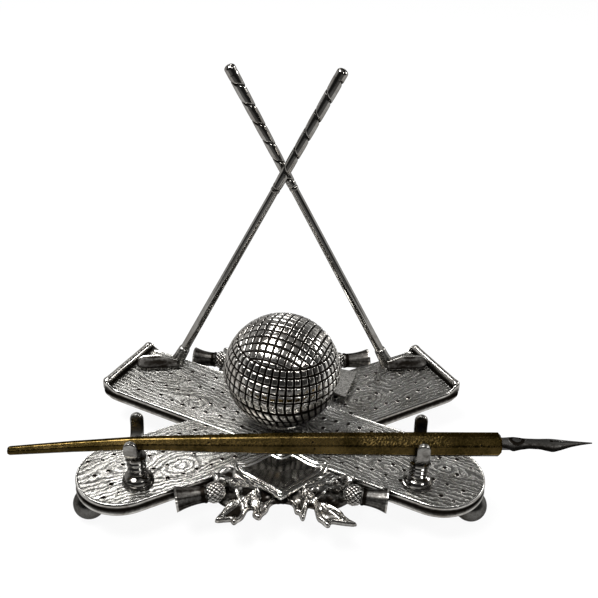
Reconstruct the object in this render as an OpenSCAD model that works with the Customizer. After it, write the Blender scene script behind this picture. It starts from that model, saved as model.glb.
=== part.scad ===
// Silver-plated desk inkstand: two crossed boards on ball feet carry a mesh-cut
// ball inkwell with a hinged top, two crossed golf clubs, thistle sprays with a
// shield at front and rear, and two forks that hold a dip pen.
// Millimetres. Origin on the desk under the middle of the base, X to the right,
// Y to the back, Z up.

/* [Crossed boards] */
// Angle of each board from the long side of the stand
board_angle = 27.9; // [25:0.1:31]
// Where the two boards cross, front to back
cross_y = -1.2; // [-4:0.1:4]
// Height of the boards' top above the desk
board_top = 15; // [13:0.1:18]
// Height of the boards' side walls
board_edge = 4.5; // [3.6:0.1:6]
// Thickness of the boards' top skin over the hollow underside
board_skin = 2.3; // [1.6:0.1:3]
// Thickness of the rim wall round the hollow underside
board_wall = 2.4; // [1.6:0.1:3.2]
// Half width of a board at its square rear end
rear_half_width = 15.3; // [12:0.1:17]
// Half width of a board at its round front end
front_half_width = 15.8; // [12:0.1:17]
// From the crossing to the square rear end
rear_reach = 70.6; // [65:0.1:76]
// From the crossing to the middle of the round front end
front_reach = 61.2; // [56:0.1:66]
// Width of the rounded lip along a rear end
lip_width = 2.2; // [1.8:0.1:2.4]
// Height of that lip above the board
lip_height = 3.3; // [2.4:0.1:4]
// Radius of the hollow curve from the board up to the lip
lip_sweep = 0.6; // [0.3:0.1:0.8]

/* [Feet] */
// Radius of a ball foot
foot_radius = 5.6; // [4.5:0.1:6.5]
// From the middle of a board's round end to the front foot
front_foot_out = 12.2; // [7:0.1:12.6]
// From a board's square end to the rear foot
rear_foot_in = 10.7; // [8:0.1:14]
// Radius of a foot's stud
foot_stud = 1.5; // [1:0.1:2]

/* [Ball inkwell] */
// Front-to-back place of the ball
ball_y = 0.2; // [-2:0.1:2]
// Outer radius of the lid half
lid_radius = 21; // [20.6:0.1:21.4]
// How much smaller the radius of the bowl half is
bowl_step = 0.7; // [0.5:0.1:1.1]
// Wall of both halves
ball_wall = 1.5; // [1.2:0.1:1.8]
// Depth of the joint line below the ball's middle
seam_drop = 0.9; // [0.5:0.1:1.5]
// Height of the bowl's flat seat above the boards
seat_rise = 3.1; // [2.6:0.1:3.5]
// How much of the ball's underside is cut off flat
seat_cut = 1.9; // [1.6:0.1:2.4]
// Number of upright lines of the mesh
mesh_lines = 44; // [28:4:48]
// Height of a mesh row in degrees
mesh_row = 8; // [7:0.1:10]
// Depth of the mesh grooves
mesh_depth = 0.5; // [0.3:0.05:0.7]
// Width of the mesh grooves
mesh_groove = 0.75; // [0.5:0.05:1]
// Latitude where the crown's square mesh begins
crown_lat = 45; // [38:1:52]
// Turn of the crown's square mesh
crown_turn = -20; // [-45:1:45]

/* [Hinge and liner] */
// Radius of the hinge knuckles
knuckle_radius = 1.7; // [1.4:0.1:2]
// Radius of the hinge pin
hinge_pin_radius = 0.8; // [0.6:0.1:1]
// Overall length of the hinge
hinge_length = 10; // [8:0.5:14]
// Room between the glass liner and the bowl, sideways
liner_room = 4.3; // [3.3:0.1:6]
// Wall of the glass liner
liner_wall = 2; // [1.4:0.1:2.6]
// Radius of the liner's mouth
liner_mouth = 8; // [6:0.1:9.5]

/* [Pen forks] */
// Sideways place of the left fork
left_fork_x = -48.2; // [-52:0.1:-44]
// Sideways place of the right fork
right_fork_x = 46.2; // [42:0.1:50]
// Front-to-back place of the forks
fork_y = -34; // [-36:0.1:-32]
// Height of the left fork's seat
left_seat = 29.2; // [28.6:0.1:30.2]
// Height of the right fork's seat
right_seat = 28; // [27.6:0.1:29.4]
// Height of the fork tips
fork_tip = 38.2; // [36:0.1:41]
// Half the gap between a fork's prongs
fork_gap = 6.5; // [5.5:0.1:8]
// Thickness of the fork's strip
fork_strip = 1.8; // [1.2:0.1:2.2]
// Width of the fork's strip
fork_width = 4.4; // [3:0.1:5]
// Radius of a post's foot flange
post_flange = 5.5; // [4.5:0.1:6.5]
// Radius of a post's neck
post_neck = 2.6; // [2:0.1:3.2]

/* [Crossed clubs] */
// From a board's square end to the club's heel
club_heel_in = 16; // [15.8:0.1:19]
// From the board's middle line to the club's heel
club_heel_aside = 12.1; // [10:0.1:12.4]
// Sideways place of the club tops
club_top_x = 19.6; // [14:0.1:24]
// Height of the club tops
club_top = 136.6; // [120:0.5:150]
// Forward and backward lean of the two shafts at the top
club_lean = 2.6; // [2.2:0.1:3.4]
// Radius of a shaft at its foot
shaft_foot = 1.8; // [1.4:0.05:2]
// Radius of a shaft at the grip
shaft_top = 1.5; // [1.2:0.05:1.6]
// Radius of a grip at its lower end
grip_low = 1.75; // [1.6:0.05:1.9]
// Radius of a grip at its butt
grip_top = 2.05; // [1.8:0.05:2.4]
// How far a grip reaches below the place where the clubs cross
grip_below = 3.9; // [2.5:0.1:8]
// Length of a club head
head_length = 15.2; // [12:0.1:15.4]
// Height of a club head's blade, measured on its face
head_height = 5.8; // [4.6:0.1:6.4]
// How far the blade leans back
head_loft = 38; // [28:1:42]

/* [Thistle sprays and shields] */
// Sideways place of a thistle's round calyx
calyx_x = 22.6; // [20:0.1:25]
// Distance of the calyx from the crossing
calyx_y = 37.8; // [36:0.1:40]
// Height of the calyx
calyx_z = 15.2; // [14:0.1:16]
// Radius of the calyx
calyx_radius = 3.5; // [2.8:0.1:4.2]
// Sideways place of a thistle tuft's mouth
tuft_x = 34.8; // [33:0.1:36]
// Distance of the tuft's mouth from the crossing
tuft_y = 40.2; // [39:0.1:42]
// Radius of the tuft's mouth
tuft_radius = 4.5; // [3.6:0.1:5]
// Thickness of the leaves
leaf_thickness = 2.3; // [1.6:0.1:2.6]
// Half width of a shield
shield_half_width = 16; // [14:0.1:17]
// Thickness of a shield
shield_thickness = 1.2; // [1:0.1:1.4]

/* [Dip pen] */
// Left end of the holder
pen_tail_x = -90; // [-96:0.5:-80]
// Right end of the holder
pen_end_x = 73; // [66:0.5:80]
// Width across the flats at the thick end
pen_thick = 7.4; // [6:0.1:8]
// Width across the flats at the tail
pen_thin = 2.8; // [2.2:0.1:3.4]
// Length of the sleeve that grips the nib
sleeve_length = 4; // [3:0.1:6]
// Length of the nib outside the sleeve
nib_length = 27; // [22:0.5:30]

/* [Hidden] */

SILVER = [0.72, 0.72, 0.7];
DARK_SILVER = [0.45, 0.45, 0.44];
BRASS = [0.5, 0.42, 0.22];
STEEL = [0.35, 0.35, 0.36];
GLASS = [0.8, 0.9, 0.9, 0.5];
ROUND = 96;                             // segments of a round form
fit = 0.05;                             // clearance of a stud in its hole
joint_gap = 0.15;                       // clearance between moving faces
fuse = 0.2;                             // overlap of shapes that are one solid

board_low = board_top - board_edge;
skin_low = board_top - board_skin;
bowl_radius = lid_radius - bowl_step;
ball_seat = board_top + seat_rise;
ball_z = ball_seat + bowl_radius - seat_cut;
seam_z = ball_z - seam_drop;
liner_radius = bowl_radius - ball_wall - liner_room;

// desk coordinates of the place that is s along and t across from the crossing on the
// board that runs to the right front (side = 1), or its mirror image (side = -1)
function board_place(side, s, t) = [
    side * (s * cos(board_angle) + t * sin(board_angle)),
    cross_y - s * sin(board_angle) + t * cos(board_angle)
];

// ---- helpers ---------------------------------------------------------------

// stands its children, drawn upwards from the origin, on the line from a to b
module along(a, b) {
    d = b - a;
    translate(a)
        rotate([0, acos(d[2] / norm(d)), atan2(d[1], d[0])])
            children();
}

// points of a cubic curve from a to d, drawn towards b and c, without its last point
function curve(a, b, c, d, n) = [
    for (i = [0:n - 1])
        let (t = i / n, s = 1 - t)
            s * s * s * a + 3 * s * s * t * b + 3 * s * t * t * c + t * t * t * d
];

function flip_x(points) = [for (i = [len(points) - 1:-1:0]) [-points[i][0], points[i][1]]];

module ring(outer, inner, height) {
    difference() {
        cylinder(r = outer, h = height, $fn = ROUND);
        translate([0, 0, -fuse]) cylinder(r = inner, h = height + 2 * fuse, $fn = ROUND);
    }
}

// ---- crossed boards --------------------------------------------------------

// outline of one board, drawn from its rear end (-x) to its round front end (+x)
module board_outline(inset = 0) {
    polygon([
        [-rear_reach + inset, -rear_half_width + inset], [front_reach, -front_half_width + inset],
        [front_reach, front_half_width - inset], [-rear_reach + inset, rear_half_width - inset]
    ]);
    translate([front_reach, 0]) circle(front_half_width - inset, $fn = ROUND);
}

// places its children in the frame of the board that runs to the right front
// (side = 1) or to the left front (side = -1)
module on_board(side) {
    translate([0, cross_y, 0])
        rotate([0, 0, side > 0 ? -board_angle : 180 + board_angle])
            children();
}

module boards(low, high, inset = 0) {
    for (side = [-1, 1])
        on_board(side) translate([0, 0, low])
            linear_extrude(height = high - low) board_outline(inset);
}

// The square rear end turns up into a lip: a round top, and a hollow curve up to it.
module rear_lip() {
    bar = lip_width / 2;
    steps = 6;
    translate([-rear_reach + bar, rear_half_width, board_top + lip_height - bar])
        rotate([90, 0, 0]) cylinder(r = bar, h = 2 * rear_half_width, $fn = ROUND);
    translate([-rear_reach, rear_half_width, board_top]) rotate([90, 0, 0])
        linear_extrude(height = 2 * rear_half_width) polygon(concat(
            [[0, -fuse], [lip_width + lip_sweep, -fuse], [lip_width + lip_sweep, 0]],
            [
                for (i = [1:steps])
                    let (a = 90 * i / steps)
                        [lip_width + lip_sweep * (1 - sin(a)), lip_sweep * (1 - cos(a)) * 0.8]
            ],
            [[lip_width, lip_height - bar], [0, lip_height - bar]]
        ));
}

foot_places = [
    board_place(-1, front_reach + front_foot_out, 1.1), board_place(1, front_reach + front_foot_out, 1.1),
    board_place(1, rear_foot_in - rear_reach, 5.85), board_place(-1, rear_foot_in - rear_reach, 5.85)
];
fork_places = [[left_fork_x, fork_y], [right_fork_x, fork_y]];
heel_places = [for (side = [1, -1]) board_place(side, club_heel_in - rear_reach, club_heel_aside)];
club_heel_x = heel_places[1][0];
club_heel_y = heel_places[1][1];
boss_radius = 4;
stud_depth = 3;
post_stud = 1.5;
club_screw = 1.2;
screw_head_radius = 2.4;
ball_screw = 1.5;

module base_boards() {
    color(DARK_SILVER) difference() {
        union() {
            difference() {
                boards(board_low, board_top);
                boards(board_low - fuse, skin_low, board_wall);
            }
            for (side = [-1, 1]) on_board(side) rear_lip();
            intersection() {
                boards(board_low, board_top);
                for (p = foot_places)
                    translate([p[0], p[1], board_low]) cylinder(r = boss_radius, h = board_edge, $fn = ROUND);
            }
        }
        for (p = foot_places)
            translate([p[0], p[1], board_low - fuse])
                cylinder(r = foot_stud + fit, h = stud_depth + 2 * fuse, $fn = ROUND);
        for (p = fork_places)
            translate([p[0], p[1], board_low])
                cylinder(r = post_stud + fit, h = board_edge + fuse, $fn = ROUND);
        for (p = heel_places) {
            translate([p[0], p[1], board_low])
                cylinder(r = club_screw + fit, h = board_edge + fuse, $fn = ROUND);
            // room for the screw's head beside the wall
            translate([p[0], p[1], board_low - fuse])
                cylinder(r = screw_head_radius + 2 * fit, h = skin_low - board_low + fuse, $fn = ROUND);
        }
        translate([0, ball_y, board_low]) cylinder(r = ball_screw + fit, h = board_edge + fuse, $fn = ROUND);
    }
}

// ---- ball feet -------------------------------------------------------------

foot_flat = 0.06;                       // how much of the ball is flat on the desk

module foot(place) {
    color(SILVER) translate([place[0], place[1], 0]) {
        intersection() {
            translate([0, 0, foot_radius - foot_flat]) sphere(foot_radius, $fn = ROUND);
            cylinder(r = foot_radius + 1, h = board_low, $fn = ROUND);
        }
        translate([0, 0, board_low - fuse]) cylinder(r = foot_stud, h = stud_depth + fuse, $fn = ROUND);
    }
}

module foot_front_left() { foot(foot_places[0]); }
module foot_front_right() { foot(foot_places[1]); }
module foot_rear_left() { foot(foot_places[2]); }
module foot_rear_right() { foot(foot_places[3]); }

// ---- thistle sprays and shields -------------------------------------------

// Both are drawn for the front, with y counted forwards from the crossing as
// a negative number, and turned half round for the rear.
module at_front() { translate([0, cross_y, 0]) children(); }
module at_rear() { translate([0, cross_y, 0]) rotate([0, 0, 180]) children(); }

notch_y = -front_half_width / cos(board_angle);    // bottom of the notch between the boards
notch_slope = tan(board_angle);
shield_low = board_top + 0.05;
spray_size = calyx_y / 37.8;             // the leaves and shields grow with the spray
shield_tip = -42 * spray_size;
shield_shoulder = -25.3 * spray_size;
shield_lobe = [4, -18.4] * spray_size;
shield_dip = -20.4 * spray_size;
shield_rim = 0.5;

// right half of the shield, from its tip up to the dip in its scalloped top
shield_half = concat(
    curve([0, shield_tip], [5, shield_tip + 6], [shield_half_width + 0.5, shield_tip + 5.5],
        [shield_half_width, shield_shoulder], 12),
    curve([shield_half_width, shield_shoulder], [11, shield_shoulder - 1.4],
        [9, shield_lobe[1] - 0.6], shield_lobe, 8),
    curve(shield_lobe, [2.2, shield_lobe[1] + 0.2], [0.8, shield_dip + 1.2], [0, shield_dip], 4)
);
shield_outline = concat(shield_half, flip_x([for (i = [1:len(shield_half) - 1]) shield_half[i]]), []);
shield_middle = [0, (shield_tip + shield_dip) / 2];
border_scale = 0.87;
field_bulge = 70;                       // radius of the polished field's dome

module shield_flat(size) {
    translate(shield_middle) scale(size) translate(-shield_middle) polygon(shield_outline);
}

module shield() {
    color(SILVER) {
        translate([0, 0, shield_low]) linear_extrude(height = shield_thickness) shield_flat(1);
        translate([0, 0, shield_low]) linear_extrude(height = shield_thickness + shield_rim)
            difference() {
                shield_flat(1);
                shield_flat(border_scale);
            }
        intersection() {
            translate([0, 0, shield_low]) linear_extrude(height = 2 * shield_thickness)
                shield_flat(border_scale - 0.05);
            translate([0, shield_middle[1], shield_low + shield_thickness + shield_rim - field_bulge])
                sphere(field_bulge, $fn = ROUND);
        }
    }
}

// lower leaf: five pointed lobes that hang forwards over the edge
leaf_low = [
    [-1.5, -37], [-4, -41.4], [-4.6, -43.7], [-6.3, -45.4], [-6.9, -47.4], [-8, -45.8],
    [-9.4, -42.4], [-11.3, -43.4], [-12.6, -46.8], [-15.1, -50.5], [-15.9, -47.9],
    [-21.3, -48.8], [-18.9, -44.3], [-16.8, -39.4], [-13.8, -39.4], [-15.4, -37.6], [-13, -34.6]
];
// upper leaf: lies over the board behind the calyx
leaf_high = [
    [-12.4, -34], [-16.2, -33.4], [-19.2, -32.8], [-22.6, -31.6], [-22.2, -29.4],
    [-23.1, -27], [-25.6, -24.4], [-21.9, -25.6], [-20.3, -22.7], [-17.6, -24.2], [-12, -28]
];
leaf_droop = 7;
web_low = board_low + 1.4;

module half_spray() {
    // lower leaf, drooping forwards
    translate([0, -37, board_top - leaf_thickness - 0.3])
        rotate([leaf_droop, 0, 0]) translate([0, 37, 0])
            linear_extrude(height = leaf_thickness) polygon(leaf_low * spray_size);
    // upper leaf on the board's surface
    translate([0, 0, board_top])
        linear_extrude(height = leaf_thickness * 0.6) polygon(leaf_high * spray_size);
    // stalk from the leaves to the thistle
    along([-12 * spray_size, -35 * spray_size, board_top - 0.8], [-calyx_x, -calyx_y, calyx_z])
        cylinder(r1 = 1.6, r2 = 1.2, h = 9, $fn = ROUND);
    thistle_head();
}

// round scaled calyx, waist ring and flared tuft with a hollow mouth
module thistle_head() {
    a = [-calyx_x, -calyx_y, calyx_z];
    b = [-tuft_x, -tuft_y, board_top - 0.7];
    long = norm(b - a);
    mouth = 1.2;
    translate(a) sphere(calyx_radius, $fn = ROUND);
    along(a, b) rotate_extrude($fn = ROUND) polygon([
        [0, 0], [calyx_radius * 0.7, 0], [calyx_radius * 0.82, calyx_radius * 0.95],
        [calyx_radius * 0.98, calyx_radius * 1.1], [calyx_radius * 0.92, calyx_radius * 1.35],
        [tuft_radius * 0.84, long * 0.72], [tuft_radius, long], [tuft_radius - 0.7, long],
        [tuft_radius * 0.62, long - mouth], [0, long - mouth]
    ]);
}

// flat web that fills the notch between the boards, under the shield
module spray_web() {
    edge = 1.1;                         // clearance to the boards, filled with solder at the sides
    reach = shield_half_width;
    tip = [3, -40] * spray_size;
    bend = [12, -34.5] * spray_size;
    web = [
        [0, notch_y - edge], [reach, notch_y - edge - reach * notch_slope],
        bend, tip, [-tip[0], tip[1]], [-bend[0], bend[1]],
        [-reach, notch_y - edge - reach * notch_slope]
    ];
    translate([0, 0, web_low]) linear_extrude(height = board_top - web_low) polygon(web);
}

module spray() {
    color(DARK_SILVER) difference() {
        union() {
            spray_web();
            half_spray();
            mirror([1, 0, 0]) half_spray();
        }
        translate([0, 0, shield_low - fit]) linear_extrude(height = 2 * leaf_thickness) shield_flat(1.01);
    }
}

// a spray whose tufts are fitted round the boards' edges
module fitted_spray() {
    color(DARK_SILVER) difference() {
        children();
        boards(board_low - fuse, board_top, -fit);
    }
}

module thistle_spray_front() { fitted_spray() at_front() spray(); }
module thistle_spray_rear() { fitted_spray() at_rear() spray(); }
module shield_front() { at_front() shield(); }
module shield_rear() { at_rear() shield(); }

// ---- ball plate ------------------------------------------------------------

plate_thickness = 1.05;
plate_low = ball_seat - plate_thickness;
seat_disc = lid_radius * 0.45;
ear_front = lid_radius * [1.138, 0.438];
ear_rear = lid_radius * [1.405, 1.205];
// outline of the plate round and behind the ball, in shares of the ball's radius
plate_outline = concat(
    lid_radius * [[0.38, -0.1], [0.62, 0.52], [0.86, 0.63]], [ear_front, ear_rear],
    lid_radius * [[0.905, 1.352], [0.19, 1], [-0.38, 0.19]]
);

module ball_plate() {
    color(SILVER) difference() {
        union() {
            translate([0, ball_y, plate_low]) cylinder(r = seat_disc, h = plate_thickness, $fn = ROUND);
            translate([0, 0, plate_low]) linear_extrude(height = plate_thickness)
                polygon(plate_outline);
            // spacer under the ball and turned-down corner of the ear
            translate([0, ball_y, board_top]) cylinder(r = 5, h = ball_seat - board_top, $fn = ROUND);
            translate([0, 0, board_top]) linear_extrude(height = ball_seat - board_top)
                polygon([ear_front, ear_front + [0.9, 2.6], ear_front + [-0.4, 3], ear_front + [-1.9, 1.4]]);
        }
        translate([0, ball_y, board_top - fuse])
            cylinder(r = ball_screw + fit, h = ball_seat, $fn = ROUND);
    }
}

// ---- mesh-cut ball ---------------------------------------------------------

function ball_point(radius, lon, lat) =
    [radius * cos(lat) * cos(lon), radius * cos(lat) * sin(lon), radius * sin(lat)];

seam_gap = 0.05;                        // clearance between lid and bowl at the seam
lid_drop = seam_drop - seam_gap;
seam_lat_lid = -asin(lid_drop / lid_radius);
seam_lat_bowl = -asin(seam_drop / bowl_radius);
seat_lat = -asin((ball_z - ball_seat) / bowl_radius);
lid_rows = round((crown_lat - seam_lat_lid) / mesh_row);
bowl_rows = round((seam_lat_bowl - seat_lat) / mesh_row);

// upright lines are counted from one corner of the crown's square mesh
function lon_at(j) = crown_turn - 45 + 360 * j / mesh_lines;

// One pad of the mesh has its four corners on the ball, and its sides slope
// down to the groove's bottom, which runs along the lines of the mesh.
function groove_points(radius, from_lat, to_lat, rows) = [
    for (i = [0:rows]) for (j = [0:mesh_lines - 1])
        ball_point(radius - mesh_depth, lon_at(j), from_lat + (to_lat - from_lat) * i / rows)
];
function pad_points(radius, from_lat, to_lat, rows) = [
    for (i = [0:rows - 1]) for (j = [0:mesh_lines - 1])
        let (
            step = (to_lat - from_lat) / rows,
            lat = from_lat + step * (i + 0.5),
            half = sign(step) * (abs(step) / 2 - mesh_groove / 2 / radius * 180 / PI)
        )
        for (c = [[0, -1], [1, -1], [1, 1], [0, 1]])
            let (
                at = lat + c[1] * half,
                side = mesh_groove / 2 / (radius * cos(at)) * 180 / PI
            )
            ball_point(radius, lon_at(j) + (c[0] > 0 ? 360 / mesh_lines - side : side), at)
];
// faces of the pads and their sloping sides, seen from outside
function mesh_faces(rows, out) = [
    for (i = [0:rows - 1]) for (j = [0:mesh_lines - 1])
        let (
            k = (j + 1) % mesh_lines,
            g = [i * mesh_lines + j, i * mesh_lines + k, (i + 1) * mesh_lines + k, (i + 1) * mesh_lines + j],
            first = (rows + 1) * mesh_lines + 4 * (i * mesh_lines + j),
            p = [first, first + 1, first + 2, first + 3]
        )
        for (face = concat([p], [for (s = [0:3]) [g[s], g[(s + 1) % 4], p[(s + 1) % 4], p[s]]]))
            out ? face : [for (q = [3:-1:0]) face[q]]
];
// rings of points that close the shell inside, and the faces between rings
function ring_points(rings) = [
    for (r = rings) for (j = [0:mesh_lines - 1])
        [r[0] * cos(lon_at(j)), r[0] * sin(lon_at(j)), r[1]]
];
function band(first, second, out) = [
    for (j = [0:mesh_lines - 1])
        let (k = (j + 1) % mesh_lines, face = [first + j, first + k, second + k, second + j])
            out ? face : [for (q = [3:-1:0]) face[q]]
];

function sphere_ring(radius, lat) = [radius * cos(lat), radius * sin(lat)];

module inkwell_bowl() {
    inside = bowl_radius - ball_wall;
    floor_z = ball_seat - ball_z + ball_wall;
    floor_lat = asin(floor_z / inside);
    steps = 6;
    hole = (ball_screw + 2 * fit) / cos(180 / mesh_lines);
    rings = concat(
        [for (s = [0:steps])
            sphere_ring(inside, floor_lat + (-asin(seam_drop / inside) - floor_lat) * s / steps)],
        []
    );
    all_rings = concat([[hole, ball_seat - ball_z], [hole, floor_z]], rings);
    n = mesh_lines;
    mesh_count = (bowl_rows + 1) * n + 4 * bowl_rows * n;
    points = concat(
        groove_points(bowl_radius, seam_lat_bowl, seat_lat, bowl_rows),
        pad_points(bowl_radius, seam_lat_bowl, seat_lat, bowl_rows),
        ring_points(all_rings)
    );
    faces = concat(
        mesh_faces(bowl_rows, true),
        band(bowl_rows * n, mesh_count, true),
        [for (s = [0:len(all_rings) - 2]) each band(mesh_count + s * n, mesh_count + (s + 1) * n, true)],
        band(mesh_count + (len(all_rings) - 1) * n, 0, true)
    );
    color(SILVER) translate([0, ball_y, ball_z]) polyhedron(points, faces, convexity = 6);
}

// The crown's mesh is a square net drawn on to the cap. A point of the net is
// given by u and v from -1 to 1. In the middle the net's lines are nearly
// straight, and at its rim they meet the upright lines of the rows below.
crown_cells = mesh_lines / 4;
function net_smooth(u, v) = [u * sqrt(1 - v * v / 2), v * sqrt(1 - u * u / 2)];
function net_even(u, v) =
    max(abs(u), abs(v)) == 0 ? [0, 0] :
    abs(u) >= abs(v) ? u * [cos(45 * v / u), sin(45 * v / u)] : v * [sin(45 * u / v), cos(45 * u / v)];
function net_at(u, v) =
    let (rim = pow(max(abs(u), abs(v)), 6))
    (1 - rim) * net_smooth(u, v) + rim * net_even(u, v);
function crown_point(u, v, depth) =
    let (
        p = net_at(u, v),
        away = (90 - crown_lat) * min(1, norm(p)),
        lon = crown_turn + (norm(p) > 0 ? atan2(p[1], p[0]) : 0),
        r = lid_radius - depth
    )
    [r * sin(away) * cos(lon), r * sin(away) * sin(lon), r * cos(away)];

function net_place(i) = -1 + 2 * i / crown_cells;
crown_inset = mesh_groove / (lid_radius * (90 - crown_lat) * PI / 180);
crown_floor = [
    for (i = [1:crown_cells - 1]) for (j = [1:crown_cells - 1])
        crown_point(net_place(i), net_place(j), mesh_depth)
];
crown_pads = [
    for (i = [0:crown_cells - 1]) for (j = [0:crown_cells - 1])
        for (c = [[0, 0], [1, 0], [1, 1], [0, 1]])
            crown_point(
                net_place(i + c[0]) + (c[0] > 0 ? -1 : 1) * crown_inset / 2,
                net_place(j + c[1]) + (c[1] > 0 ? -1 : 1) * crown_inset / 2,
                0
            )
];

// number of the net's knot (i, j): on the rim it is a knot of the top row, which
// starts at the corner (1, -1) and runs the way of the upright lines
function knot(i, j, rim, floor_first) =
    let (n = crown_cells)
    i == n ? rim + j :
    j == n ? rim + n + (n - i) :
    i == 0 ? rim + 2 * n + (n - j) :
    j == 0 ? rim + 3 * n + i :
    floor_first + (i - 1) * (n - 1) + (j - 1);

function turned(face, out) = out ? face : [for (q = [len(face) - 1:-1:0]) face[q]];

module inkwell_lid() {
    inside = lid_radius - ball_wall;
    n = mesh_lines;
    rim = lid_rows * n;
    floor_first = (lid_rows + 1) * n + 4 * lid_rows * n;
    pads_first = floor_first + len(crown_floor);
    inner_first = pads_first + len(crown_pads);
    steps = 6;
    top_lat = 80;
    low_lat = -asin(lid_drop / inside);
    rings = [for (s = [0:steps]) sphere_ring(inside, top_lat + (low_lat - top_lat) * s / steps)];
    tip = inner_first + len(rings) * n;
    points = concat(
        groove_points(lid_radius, seam_lat_lid, crown_lat, lid_rows),
        pad_points(lid_radius, seam_lat_lid, crown_lat, lid_rows),
        crown_floor,
        crown_pads,
        ring_points(rings),
        [[0, 0, inside]]
    );
    faces = concat(
        mesh_faces(lid_rows, false),
        [
            for (i = [0:crown_cells - 1]) for (j = [0:crown_cells - 1])
                let (
                    g = [for (c = [[0, 0], [1, 0], [1, 1], [0, 1]])
                        knot(i + c[0], j + c[1], rim, floor_first)],
                    first = pads_first + 4 * (i * crown_cells + j),
                    p = [first, first + 1, first + 2, first + 3]
                )
                for (face = concat([p], [for (s = [0:3]) [g[s], g[(s + 1) % 4], p[(s + 1) % 4], p[s]]]))
                    turned(face, false)
        ],
        [for (j = [0:n - 1]) [tip, inner_first + j, inner_first + (j + 1) % n]],
        [for (s = [0:steps - 1]) each band(inner_first + s * n, inner_first + (s + 1) * n, false)],
        band(inner_first + steps * n, 0, false)
    );
    color(SILVER) translate([0, ball_y, ball_z]) polyhedron(points, faces, convexity = 6);
}

// ---- bezel, hinge, liner and screw ----------------------------------------

bezel_rise = 1.2;
bezel_outer = lid_radius - ball_wall - 2 * joint_gap;
bezel_inner = bezel_outer - 1.1;
bezel_drop = 1.6;

// ring inside the bowl's mouth that keeps the lid in place
module bowl_bezel() {
    lower = sqrt(pow(bowl_radius - ball_wall, 2) - pow(seam_drop + bezel_drop, 2)) - fit;
    low = min(lower, bowl_radius - ball_wall - 2 * fit);
    color(SILVER) translate([0, ball_y, seam_z]) rotate_extrude($fn = ROUND) polygon([
        [bezel_inner - 0.4, -bezel_drop], [low - 0.3, -bezel_drop], [low, -fuse], [low, fit],
        [bezel_outer, fit], [bezel_outer, bezel_rise - 0.4], [bezel_outer - 0.4, bezel_rise],
        [bezel_inner - 0.4, bezel_rise]
    ]);
}

hinge_y = ball_y + lid_radius + knuckle_radius + 0.2;
mid_knuckle = hinge_length * 0.4;
leaf_gap = 0.15;

module knuckle(from_x, to_x) {
    translate([from_x, hinge_y, seam_z]) rotate([0, 90, 0]) difference() {
        cylinder(r = knuckle_radius, h = to_x - from_x, $fn = ROUND);
        translate([0, 0, -fuse])
            cylinder(r = hinge_pin_radius + fit, h = to_x - from_x + 2 * fuse, $fn = ROUND);
    }
}

// strap that reaches from the knuckle on to the ball, above (side = 1) or below the seam
module hinge_strap(from_x, to_x, side, radius) {
    tall = 5.5;
    difference() {
        intersection() {
            translate([from_x, ball_y, side > 0 ? seam_z + leaf_gap : seam_z - leaf_gap - tall])
                cube([to_x - from_x, hinge_y - ball_y, tall]);
            translate([0, ball_y, ball_z]) sphere(radius + 1.1, $fn = ROUND);
        }
        translate([0, ball_y, ball_z]) sphere(radius + fit, $fn = ROUND);
        translate([from_x - fuse, hinge_y, seam_z]) rotate([0, 90, 0])
            cylinder(r = knuckle_radius - fuse, h = to_x - from_x + 2 * fuse, $fn = ROUND);
    }
}

module hinge_bowl_knuckles() {
    half = hinge_length / 2;
    inner = mid_knuckle / 2 + joint_gap;
    color(SILVER) {
        for (side = [-1, 1]) {
            a = side > 0 ? inner : -half;
            b = side > 0 ? half : -inner;
            knuckle(a, b);
            hinge_strap(a, b, -1, bowl_radius);
        }
    }
}

module hinge_lid_knuckle() {
    half = mid_knuckle / 2;
    color(SILVER) {
        knuckle(-half, half);
        hinge_strap(-half, half, 1, lid_radius);
    }
}

module hinge_pin() {
    head = 0.5;
    color(STEEL) translate([-hinge_length / 2 - head, hinge_y, seam_z]) rotate([0, 90, 0]) {
        cylinder(r = hinge_pin_radius, h = hinge_length + 2 * head, $fn = ROUND);
        cylinder(r = hinge_pin_radius + 0.35, h = head, $fn = ROUND);
        translate([0, 0, hinge_length + head]) cylinder(r = hinge_pin_radius + 0.35, h = head, $fn = ROUND);
    }
}

well_floor = ball_seat + ball_wall;
screw_head = 1.2;

// glass ink cup that stands on the bowl's floor, with a hollow under it for the screw
module glass_liner() {
    low = well_floor + fit;
    foot = 7.4;
    shoulder = seam_z - 2.4;
    rim = seam_z + 2.6;
    body_low = ball_z - sqrt(pow(bowl_radius - ball_wall - 0.3, 2) - pow(liner_radius, 2));
    color(GLASS) translate([0, ball_y, 0]) rotate_extrude($fn = ROUND) polygon([
        [0, low + 1.6], [4.2, low + 1.6], [4.6, low], [foot, low], [liner_radius, body_low + 0.6],
        [liner_radius, shoulder - 1.4], [liner_radius - 1.4, shoulder],
        [liner_mouth + liner_wall, shoulder + 1.2], [liner_mouth + liner_wall, rim],
        [liner_mouth, rim], [liner_mouth, shoulder - 0.6],
        [liner_radius - liner_wall, shoulder - liner_wall - 1], [liner_radius - liner_wall, body_low + 2],
        [foot - 0.6, low + 1.6 + liner_wall], [0, low + 1.6 + liner_wall]
    ]);
}

module inkwell_screw() {
    color(STEEL) translate([0, ball_y, 0]) difference() {
        union() {
            translate([0, 0, board_low + 0.4])
                cylinder(r = ball_screw, h = well_floor - board_low - 0.4 + fuse, $fn = ROUND);
            translate([0, 0, well_floor]) cylinder(r = 3.2, h = screw_head, $fn = ROUND);
        }
        translate([-5, -0.4, well_floor + screw_head - 0.5]) cube([10, 0.8, 2]);
    }
}

module nut(place, hole) {
    thick = 1.8;
    translate([place[0], place[1], skin_low - thick]) difference() {
        cylinder(r = hole * 2, h = thick, $fn = 6);
        translate([0, 0, -fuse]) cylinder(r = hole + fit, h = thick + 2 * fuse, $fn = ROUND);
    }
}

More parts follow.
